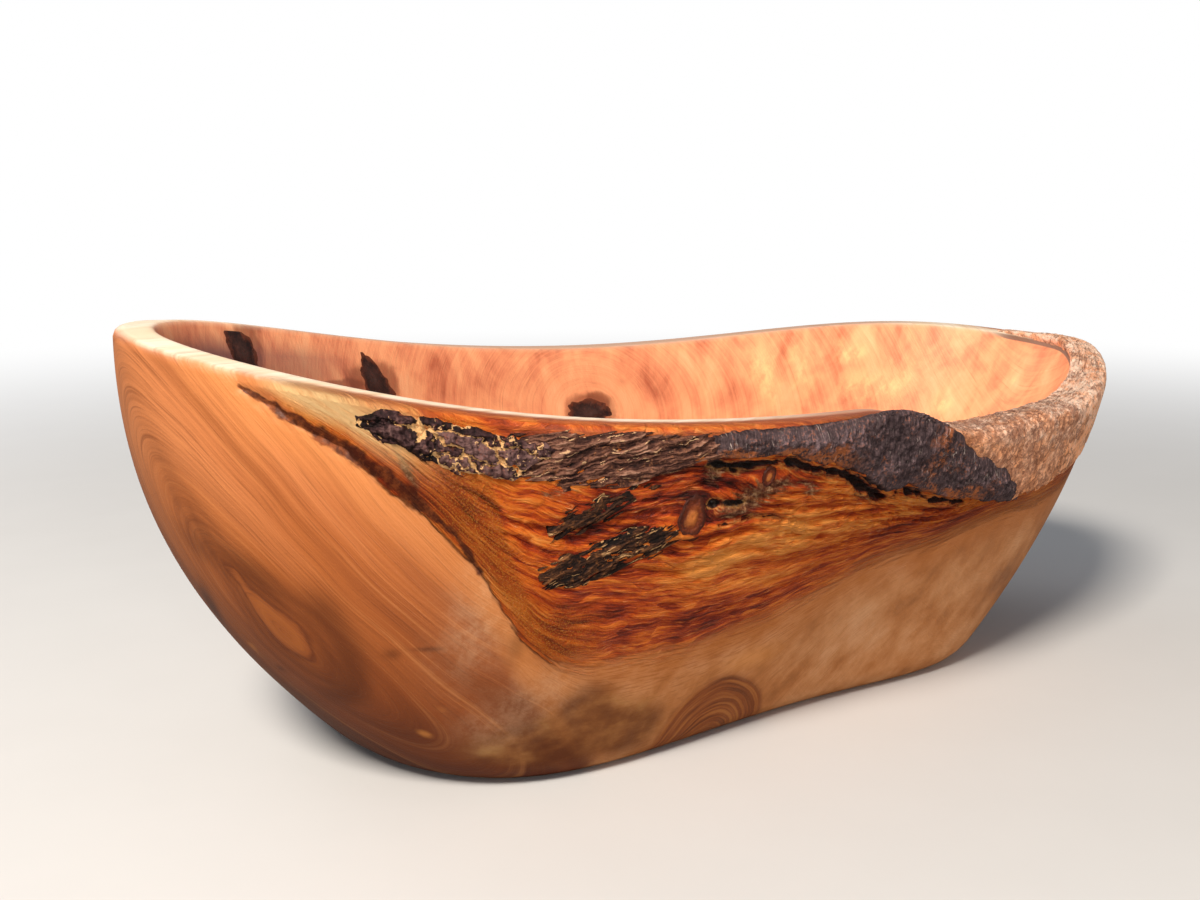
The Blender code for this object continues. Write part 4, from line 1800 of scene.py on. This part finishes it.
# Outlines of the bark: angle, lower edge and upper edge, where 2 is the inner edge of the rim
Stations = tuple[tuple[float, float, float], ...]
LEFT_PLATE: Stations = (
    (218.0, 0.950, 0.985), (221.5, 0.922, 1.003), (225.0, 0.890, 1.003), (228.8, 0.866, 0.998),
    (232.5, 0.862, 0.985), (235.5, 0.915, 0.975), (237.5, 0.935, 0.962),
)
MIDDLE_STRIP: Stations = (
    (233.0, 0.868, 0.990), (238.8, 0.842, 1.003), (241.8, 0.845, 1.005), (244.5, 0.858, 1.005),
    (246.5, 0.885, 1.005), (250.0, 0.912, 1.004), (253.6, 0.935, 0.990),
)
RIGHT_PLATE: Stations = (
    (250.8, 0.928, 0.998), (253.8, 0.916, 1.006), (256.2, 0.916, 1.008), (258.8, 0.920, 1.014),
    (261.2, 0.893, 1.018), (263.0, 0.881, 1.024), (265.5, 0.860, 1.040), (267.5, 0.830, 1.070),
    (269.8, 0.792, 1.110), (271.5, 0.772, 1.125), (272.8, 0.782, 1.130), (274.2, 0.801, 1.130),
    (276.5, 0.797, 1.110), (279.2, 0.789, 1.060), (282.0, 0.790, 0.990), (285.0, 0.779, 0.955),
    (290.0, 0.745, 0.895), (294.0, 0.722, 0.830), (298.0, 0.712, 0.760),
)
UPPER_SLIVER: Stations = (
    (235.4, 0.705, 0.760), (238.2, 0.735, 0.812), (240.8, 0.765, 0.848),
    (244.5, 0.818, 0.874), (247.0, 0.850, 0.880),
)
LOWER_SLIVER: Stations = (
    (233.8, 0.590, 0.650), (237.8, 0.592, 0.692), (240.5, 0.615, 0.722),
    (244.5, 0.655, 0.752), (249.0, 0.700, 0.752),
)
CORK: Stations = (
    (278.0, 1.150, 1.500), (281.0, 0.930, 1.780), (284.0, 0.885, 1.95), (290.0, 0.800, 1.97),
    (297.0, 0.715, 1.97), (312.0, 0.738, 1.97), (330.0, 0.790, 1.97), (350.0, 0.850, 1.97),
    (364.0, 0.930, 1.92), (371.0, 1.10, 1.75), (376.0, 1.25, 1.50),
)
Grown = tuple[Array, Array, Array]


@dataclass
class BarkPiece:
    """A piece of bark or cork left on the wood, between two edges."""

    name: str
    slot: str
    node: str
    stations: Stations
    thickness: float
    finish: BarkFinish
    columns: int
    rows: int
    seed: int
    torn: float = 1.0
    slope: float = 0.2
    fade: float = 3.0
    tail: float = 2.0
    bevel: float = 2.0
    sink: float = 0.0008
    rim_width: float = 10.0

    def edge(self, angle: Array, which: int) -> Array:
        """One edge of the outline at each angle, eased between its stations.

        Args:
            angle: angles round the bowl.
            which: 1 for the lower edge, 2 for the upper one.

        Returns:
            Shares of the wall.
        """
        table = np.array(self.stations)
        index = np.clip(np.searchsorted(table[:, 0], angle) - 1, 0, len(table) - 2)
        part = smooth(0, 1, (angle - table[index, 0]) / (table[index + 1, 0] - table[index, 0]))
        return table[index, which] + (table[index + 1, which] - table[index, which]) * part

    def scaly(self, run: Array, high: Array) -> Grown:
        """Ribbed scales with pale veins between them.

        Args:
            run: distances along the wall.
            high: distances up the wall.

        Returns:
            Heights, cracks and tints, as in shape.
        """
        seed = self.seed
        bend = 5.0 * ripple(run / 4.5, high / 4.5, seed, 5)
        bend = bend + 2.2 * ripple(run / 0.9, high / 0.9, seed + 40, 3)
        sway = 5.0 * ripple(run / 5.0, high / 4.0, seed + 2, 5)
        sway = sway + 2.2 * ripple(run / 0.9, high / 0.9, seed + 41, 3)
        border, tint = cells((run + 0.4 * high + bend) / 8.5, (high + 0.25 * run + sway) / 4.6, seed + 3)
        split, _ = cells((run + sway) / 2.2, (high + bend) / 7.0, seed + 33)
        grain = ripple(run / 1.1, high / 1.1, seed + 9, 3)
        ribs = ripple(run / 0.8, high / 5.0, seed + 14, 3)
        scale = smooth(0.02, 0.22, border) * (0.5 + 0.7 * tint)
        patchy = smooth(0.38, 0.52, hills(run / 7, high / 5, seed + 21, 3))
        thin = smooth(0.10, 0.03, split) * smooth(0.50, 0.60, hills(run / 3, high / 3, seed + 27, 3))
        veins = np.maximum(smooth(0.15, 0.05, border) * patchy, 0.75 * thin)
        return 0.35 + 0.50 * scale + 0.9 * grain + 0.8 * ribs, veins, tint

    def thick(self, run: Array, high: Array, along: Array, up: Array) -> Grown:
        """Lumpy bark, calmer towards its top, with rust at its foot.

        Args:
            run: distances along the wall.
            high: distances up the wall.
            along: shares of the length.
            up: shares of the height.

        Returns:
            Heights, cracks and tints, as in shape.
        """
        seed = self.seed
        lumps = hills(run / 9, high / 7, seed, 5) - 0.45
        grooves = ripple(run / 0.9, high / 7, seed + 5, 3)
        grain = ripple(run / 1.2, high / 1.2, seed + 6, 3)
        calm = 1 - 0.7 * smooth(0.6, 0.9, up)
        body = 0.62 + 0.5 * lumps * calm + 0.2 * grooves * calm + 0.5 * grain * calm
        mottle = hills(run / 5, high / 4, seed + 12, 5)
        rust = smooth(0.46, 0.60, mottle + 0.45 * (0.40 - up))
        rust = rust * smooth(0.48, 0.58, along) * smooth(0.84, 0.72, along)
        brown = smooth(0.45, 0.20, up + 1.0 * (mottle - 0.5)) * smooth(0.36, 0.26, along)
        return body, smooth(0.40, 0.75, up), np.maximum(rust, brown)

    def stringy(self, run: Array, high: Array) -> Grown:
        """Layers of torn strings.

        Args:
            run: distances along the wall.
            high: distances up the wall.

        Returns:
            Heights, cracks and tints, as in shape.
        """
        seed = self.seed
        slope = high - self.slope * run + 4.0 * ripple(run / 9, high / 5, seed, 4)
        slope = slope + 0.9 * ripple(run / 1.6, high / 1.6, seed + 2, 3)
        border, chip = cells(run / 6.5, slope / 1.3, seed + 5)
        layers = hills(run / 8, slope / 0.75, seed + 8, 4)
        strings = hills(run / 4, slope / 0.3, seed + 11, 3)
        kept = smooth(0.40, 0.56, hills(run / 5, slope / 1.8, seed + 15, 4))
        body = 0.10 + 0.45 * chip * smooth(0.0, 0.2, border) * kept
        body = body + 0.8 * (layers - 0.2) + 0.5 * (strings - 0.5)
        frayed = smooth(0.63, 0.73, strings) * smooth(0.45, 0.58, hills(run / 4, high / 3, seed + 21, 3))
        return body, frayed, 0.3 * chip + 0.7 * layers

    def corky(self, run: Array, high: Array, along: Array, up: Array) -> Grown:
        """Lumps and pits, darker beside the thick bark.

        Args:
            run: distances along the wall.
            high: distances up the wall.
            along: shares of the length.
            up: shares of the height.

        Returns:
            Heights, cracks and tints, as in shape.
        """
        lumps = hills(run / 3.4, high / 3.0, self.seed, 5)
        pits = hills(run / 1.0, high / 0.9, self.seed + 4, 3)
        dark = hills(run / 5.0, high / 3.6, self.seed + 8, 6)
        dark = dark + 0.34 * smooth(0.38, 0.17, along) + 0.04 * smooth(0.5, 0.7, up)
        return 0.70 + 0.4 * lumps - 0.3 * smooth(0.5, 0.75, pits), smooth(0.50, 0.66, dark), 1 - 0.7 * dark

    def shape(self, run: Array, high: Array, along: Array, up: Array) -> Grown:
        """The grown surface.

        Args:
            run: distance along the wall in millimetres.
            high: distance up the wall in millimetres.
            along: share of the piece's length.
            up: share of its height.

        Returns:
            The height as a share of the thickness, the cracks and a tint for each part.
        """
        kind = self.finish.kind
        if kind is BarkKind.SCALY:
            return self.scaly(run, high)
        if kind is BarkKind.THICK:
            return self.thick(run, high, along, up)
        if kind is BarkKind.STRINGY:
            return self.stringy(run, high)
        return self.corky(run, high, along, up)

    def cover(self, run: Array, high: Array, inside: Array) -> Array:
        """How far the piece stands out of the wood, with torn edges.

        Args:
            run: distance along the wall in millimetres.
            high: distance up the wall in millimetres.
            inside: distance from the nearest edge of the outline in millimetres.

        Returns:
            From 0, below the wood's surface, to 1.
        """
        if self.finish.kind is BarkKind.STRINGY:
            slope = high - self.slope * run
            tear = 0.5 * hills(run / 7, slope / 1.1, self.seed + 60, 4)
            tear = tear + 0.5 * hills(run / 11, slope / 0.55, self.seed + 63, 3)
        else:
            tear = hills(run / 2.6, high / 2.6, self.seed + 60, 4)
        return smooth(0.0, 1.3, inside + self.torn * 3.2 * (tear - 0.5))

    def build(self, wall: WallForm, chart: WallChart) -> bpy.types.Object:
        """Make the piece.

        Args:
            wall: the wall that carries it.
            chart: distances on the wall.

        Returns:
            The piece, in place of its solid.
        """
        mesh = grid_mesh(self.name, self.columns, self.rows, double=True)
        column, row = grid_places(mesh, self.columns, self.rows)
        upper = np.arange(len(column)) >= (self.columns + 1) * (self.rows + 1)
        along, up = column / self.columns, row / self.rows
        first, last = self.stations[0][0], self.stations[-1][0]
        angle = first + (last - first) * along
        low, top = self.edge(angle, 1), self.edge(angle, 2)
        share = low + (top - low) * up
        run, high = chart.run(angle), chart.height(angle, share)
        body, crack, tint = self.shape(run, high, along, up)
        width = chart.run(last) - chart.run(first)
        tall = chart.height(angle, np.ones_like(share))
        band = (np.minimum(top, 1.0) - low) * tall + np.maximum(top - 1.0, 0.0) * self.rim_width
        inside = np.minimum(np.minimum(up, 1 - up) * band, np.minimum(along, 1 - along) * width)
        cover = np.where(inside < 0.05, 0.0, self.cover(run, high, inside))
        slim = np.minimum(smooth(0.0, self.fade, up * band), smooth(0.0, self.bevel, inside))
        thinning = 0.12 + 0.88 * smooth(0.0, self.tail, (1 - along) * width)
        full = self.thickness * np.clip(body, 0.1, 1.25) * (0.3 + 0.7 * slim) * thinning
        crust = (full + self.sink) * cover - self.sink * 0.75
        offset = np.where(upper, crust, -self.sink)
        normal = wall.facing(wall.outside, angle, np.where(np.abs(share - 1) < 0.006, 0.993, share))
        measures = {
            "run": run, "height": high, "relief": np.clip(body, 0, 1.2) * cover,
            "crack": crack, "tint": tint, "up": up,
        }
        lay(mesh, wall.outside(angle, share) + normal * offset[:, None], measures)
        piece = finish_mesh(self.name, mesh, self.finish.make())
        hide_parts(self.node)
        return piece


@dataclass
class Plug:
    """A knot or an inclusion in the wood: a domed lens with an uneven outline."""

    name: str
    slot: str
    node: str
    spot: Patch
    inward: bool
    finish: PlugFinish
    uneven: float
    seed: int
    narrow: float = 0.0
    proud: float = 0.00015
    depth: float = 0.0020
    columns: int = 72
    rings: int = 14
    socket_rings: int = 4
    rise_step: float = 0.004
    top: float = 0.9985

    def build(self, wall: WallForm) -> bpy.types.Object:
        """Make the piece.

        Args:
            wall: the wall that holds it.

        Returns:
            The piece, in place of its solid.
        """
        surface, spot = wall.inner if self.inward else wall.outside, self.spot
        rows = self.rings + self.socket_rings
        mesh = grid_mesh(self.name, self.columns, rows)
        column, row = grid_places(mesh, self.columns, rows)
        turn = math.tau * (column % self.columns) / self.columns
        sunk = (row - self.rings) / self.socket_rings
        radius = np.where(row <= self.rings, row / self.rings, 1 - sunk)
        edge = 1 + self.uneven * 2 * ripple(np.cos(turn) * 1.7 + 7, np.sin(turn) * 1.7 + 7, self.seed, 4)
        high = radius * edge * np.sin(turn)
        right = radius * edge * np.cos(turn) * (1 - self.narrow * high)
        cosine, sine = math.cos(math.radians(spot.tilt)), math.sin(math.radians(spot.tilt))
        across = right * spot.half_width * cosine - high * spot.half_height * sine
        rise = right * spot.half_width * sine + high * spot.half_height * cosine
        _, along, up = spot_axes(surface, spot.angle, spot.share, self.rise_step)
        angle = spot.angle + across / (np.linalg.norm(along) * MM)
        share = spot.share + rise / (np.linalg.norm(up) * MM / (2 * self.rise_step))
        share = np.minimum(share, self.top)
        bumps = ripple(right * 3 + 20, high * 3 + 20, self.seed + 5, 3) * 0.0002
        lid = self.proud * (1 - radius**6) * 1.6 - 0.0001 + bumps * (1 - radius**4)
        offset = np.where(row <= self.rings, lid, -self.depth * np.clip((row - self.rings) / 2, 0, 1))
        normal = wall.facing(surface, angle, np.minimum(share, 0.993)) * (-1 if self.inward else 1)
        lay(mesh, surface(angle, share) + normal * offset[:, None], {"radius": radius})
        piece = finish_mesh(self.name, mesh, self.finish.make(), MERGE)
        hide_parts(self.node)
        return piece


# The studio


Place = tuple[float, float, float]


def aim(thing: bpy.types.Object, place: Place, target: Place) -> None:
    """Add a lamp or a camera to the scene, turned towards a target.

    Args:
        thing: the lamp or the camera.
        place: where it stands.
        target: what it looks at.
    """
    thing.location = place
    thing.rotation_euler = (Vector(target) - Vector(place)).to_track_quat("-Z", "Y").to_euler()
    bpy.context.scene.collection.objects.link(thing)


@dataclass(frozen=True)
class Lamp:
    """A square soft lamp: where it hangs, its side, its power in watts, its colour and its target."""

    name: str
    place: Place
    size: float
    watts: float
    tint: str
    target: Place = (0.0, 0.0, 0.05)

    def build(self) -> None:
        """Hang the lamp."""
        data = bpy.data.lights.new(self.name, "AREA")
        data.size, data.energy, data.color = self.size, self.watts, tone(self.tint)[:3]
        aim(bpy.data.objects.new(self.name, data), self.place, self.target)


@dataclass(frozen=True)
class Studio:
    """Pale floor, soft lamps and the camera."""

    camera_place: Place = (-0.2422, -0.2964, 0.1393)
    camera_target: Place = (-0.0241, 0.0168, 0.0635)
    lens: float = 40.5
    sensor: float = 36.0
    shift: tuple[float, float] = (0.0076, 0.0003)
    clip: tuple[float, float] = (0.01, 50.0)
    floor_radius: float = 6.0
    floor_drop: float = 0.0002
    floor_tones: tuple[str, str] = ("#d6d7d8", "#b8b8b8")
    bounce: str = "#8a8784"
    white_from: float = 0.26
    white_at: float = 0.95
    sky: str = "#e6ebf4"
    sky_strength: float = 0.24
    lamps: tuple[Lamp, ...] = (
        Lamp("key", (-0.82, -0.46, 1.05), 0.35, 25.0, "#fff4e6"),
        Lamp("fill", (-0.20, -1.30, 0.09), 0.18, 7.5, "#fffaf2"),
        Lamp("back", (-0.35, 1.15, 0.8), 0.9, 4.0, "#ffffff"),
    )

    def floor(self) -> None:
        """A round pale floor that turns white with distance, and a darker one for bounced light."""
        work = bmesh.new()
        bmesh.ops.create_circle(work, segments=96, radius=self.floor_radius, cap_ends=True)
        mesh = bpy.data.meshes.new("floor")
        work.to_mesh(mesh)
        work.free()
        pad = NodePad("pale_floor")
        away = pad.length(pad.place)
        pale = pad.mix(pad.times(pad.clouds(30.0, 4.0), 0.15), *self.floor_tones)
        direct = pad.node("ShaderNodeLightPath").outputs["Is Camera Ray"]
        pad.dress(pad.mix(direct, self.bounce, pale), 0.7, 0.2)
        faded = pad.times(direct, pad.step(away, self.white_from, self.white_at))
        white = pad.node("ShaderNodeEmission").outputs["Emission"]
        pick = pad.node("ShaderNodeMixShader", faded, pad.shader.outputs["BSDF"], white)
        pad.feed(pad.tree.nodes["Material Output"].inputs["Surface"], pick.outputs["Shader"])
        mesh.materials.append(pad.material)
        ground = bpy.data.objects.new("floor", mesh)
        ground.location.z = -self.floor_drop
        bpy.context.scene.collection.objects.link(ground)

    def world(self) -> None:
        """Soft light from all round, and white behind the bowl."""
        world = bpy.data.worlds.new("studio")
        world.use_nodes = True
        nodes, links = world.node_tree.nodes, world.node_tree.links
        nodes.clear()
        out = nodes.new("ShaderNodeOutputWorld")
        seen, soft = nodes.new("ShaderNodeBackground"), nodes.new("ShaderNodeBackground")
        pick = nodes.new("ShaderNodeMixShader")
        seen.inputs["Color"].default_value = (1, 1, 1, 1)
        soft.inputs["Color"].default_value = tone(self.sky)
        soft.inputs["Strength"].default_value = self.sky_strength
        ray = nodes.new("ShaderNodeLightPath")
        links.new(ray.outputs["Is Camera Ray"], pick.inputs["Fac"])
        links.new(soft.outputs["Background"], pick.inputs[1])
        links.new(seen.outputs["Background"], pick.inputs[2])
        links.new(pick.outputs["Shader"], out.inputs["Surface"])
        bpy.context.scene.world = world

    def camera(self) -> None:
        """The camera at the bowl's three-quarter view."""
        data = bpy.data.cameras.new("camera")
        data.sensor_width, data.lens = self.sensor, self.lens
        data.shift_x, data.shift_y = self.shift
        data.clip_start, data.clip_end = self.clip
        thing = bpy.data.objects.new("camera", data)
        aim(thing, self.camera_place, self.camera_target)
        bpy.context.scene.camera = thing

    def build(self) -> None:
        """Set the studio up."""
        bpy.context.scene.view_settings.view_transform = "Standard"
        self.floor()
        self.world()
        for lamp in self.lamps:
            lamp.build()
        self.camera()


# Putting it together


def make_wood(wall: WallForm, chart: WallChart) -> OliveWood:
    """The wood's finish, with its rings, halos and borders set on the wall.

    Args:
        wall: the wall's formula.
        chart: distances on the wall.

    Returns:
        The finish.
    """
    halo_depth = 0.012
    halos = (
        (143.5, 0.975, 6.0, 0.0078, 0.0140), (120.5, 0.948, -6.0, 0.0100, 0.0092),
        (130.0, 0.950, -4.0, 0.0150, 0.0022), (86.8, 0.903, 0.0, 0.0125, 0.0070),
        (85.0, 0.920, 0.0, 0.0050, 0.0042),
    )
    return OliveWood(
        eye=GrainFrame.on(wall.outside, 199.2, 0.43, -50.0, (3.6, 1.0, 3.0)),
        swirl=GrainFrame.on(wall.inner, 86.8, 0.90, 0.0, (1.3, 1.0, 2.0)),
        halos=tuple(
            GrainFrame.on(wall.inner, angle, share, tilt, (half_width, half_height, halo_depth))
            for angle, share, tilt, half_width, half_height in halos
        ),
        corner=float(chart.run(231.5)),
        start=float(chart.run(206.0)),
    )


def make_bark() -> tuple[BarkPiece, ...]:
    """The pieces of bark and cork, in their finishes.

    Returns:
        The pieces, still to be built.
    """
    scaly = BarkFinish(
        "scaly_bark", BarkKind.SCALY, ("#090505", "#1d1112", "#3a2425", "#6e514e"), "#dfb17a", "#8a4630"
    )
    thick = BarkFinish(
        "thick_bark", BarkKind.THICK, ("#120c0d", "#2f2224", "#504042", "#8a7276"), "#cdbab0", "#a45c30"
    )
    stringy = BarkFinish(
        "stringy_bark", BarkKind.STRINGY, ("#1a0d0b", "#4a2c24", "#7c5342", "#ae8670"), "#cfa67c", "#a4683c"
    )
    shreds = BarkFinish(
        "bark_shreds", BarkKind.STRINGY, ("#0d0706", "#21120c", "#442818", "#7c5030"), "#b98f60", "#8a552c"
    )
    cork = BarkFinish(
        "cork", BarkKind.CORKY, ("#b8785e", "#e6a886", "#f4c2a4", "#fee6d2"), "#4e2e27", "#f29e64"
    )
    return (
        BarkPiece(
            "middle_bark_strip", "stringy_bark", "bark_strip_middle", MIDDLE_STRIP, 0.0017, stringy,
            columns=240, rows=90, seed=13, torn=1.5,
        ),
        BarkPiece(
            "left_bark_plate", "scaly_bark", "bark_plate_left", LEFT_PLATE, 0.0022, scaly,
            columns=210, rows=84, seed=3, torn=0.9,
        ),
        BarkPiece(
            "right_bark_plate", "scaly_bark", "bark_plate_right", RIGHT_PLATE, 0.0034, thick,
            columns=360, rows=110, seed=7, torn=0.55, tail=14, bevel=5,
        ),
        BarkPiece(
            "upper_bark_sliver", "stringy_bark", "bark_sliver_upper", UPPER_SLIVER, 0.0008, shreds,
            columns=170, rows=100, seed=19, torn=3.6, slope=0.5,
        ),
        BarkPiece(
            "lower_bark_sliver", "stringy_bark", "bark_sliver_lower", LOWER_SLIVER, 0.0008, shreds,
            columns=200, rows=120, seed=23, torn=3.6, slope=0.4,
        ),
        BarkPiece(
            "cork_rim_end", "cork", "bark_rim_end", CORK, 0.0026, cork,
            columns=400, rows=100, seed=29, torn=0.8, fade=16, tail=60,
        ),
    )


def make_plugs() -> tuple[Plug, ...]:
    """The knots and the dark inclusions, in their finishes.

    Returns:
        The pieces, still to be built.
    """
    knot = PlugFinish(
        "knot_wood", ("#3e1307", "#66280c", "#8c451a"), "#2c0e07", 1.7, "#cc7636", "#3c1408"
    )
    dark = PlugFinish(
        "dark_inclusion", ("#1b1011", "#34211d", "#523630"), "#1a0f0e", 1.3, "#4a342f", "#6a3826", 0.55
    )
    return (
        Plug(
            "lower_pin_knot", "knot_wood", "pin_knot_lower", Patch(249.6, 0.768, 3.8, 6.5, -10),
            inward=False, finish=knot, uneven=0.2, seed=3, narrow=0.25,
        ),
        Plug(
            "upper_pin_knot", "knot_wood", "pin_knot_upper", Patch(257.0, 0.868, 1.9, 2.8, -10),
            inward=False, finish=knot, uneven=0.2, seed=5,
        ),
        Plug(
            "left_inclusion", "dark_inclusion", "inclusion_left", Patch(143.5, 0.982, 5.6, 9.5, 6),
            inward=True, finish=dark, uneven=0.35, seed=7, narrow=-0.3,
        ),
        Plug(
            "centre_inclusion", "dark_inclusion", "inclusion_centre", Patch(120.5, 0.96, 5.8, 9.0, -6),
            inward=True, finish=dark, uneven=0.45, seed=11, narrow=0.5,
        ),
        Plug(
            "back_inclusion", "dark_inclusion", "inclusion_back", Patch(86.8, 0.902, 10, 5.0, 0),
            inward=True, finish=dark, uneven=0.45, seed=17,
        ),
    )


def main() -> None:
    """Build the bowl and its studio."""
    logging.basicConfig(level=logging.INFO, format="%(name)s %(message)s")
    Studio().build()
    wall = WallForm()
    chart = WallChart(wall)
    BowlBody(wall, chart, make_wood(wall, chart)).build()
    for bark in make_bark():
        bark.build(wall, chart)
    for plug in make_plugs():
        plug.build(wall)


if __name__ == "__main__":
    main()
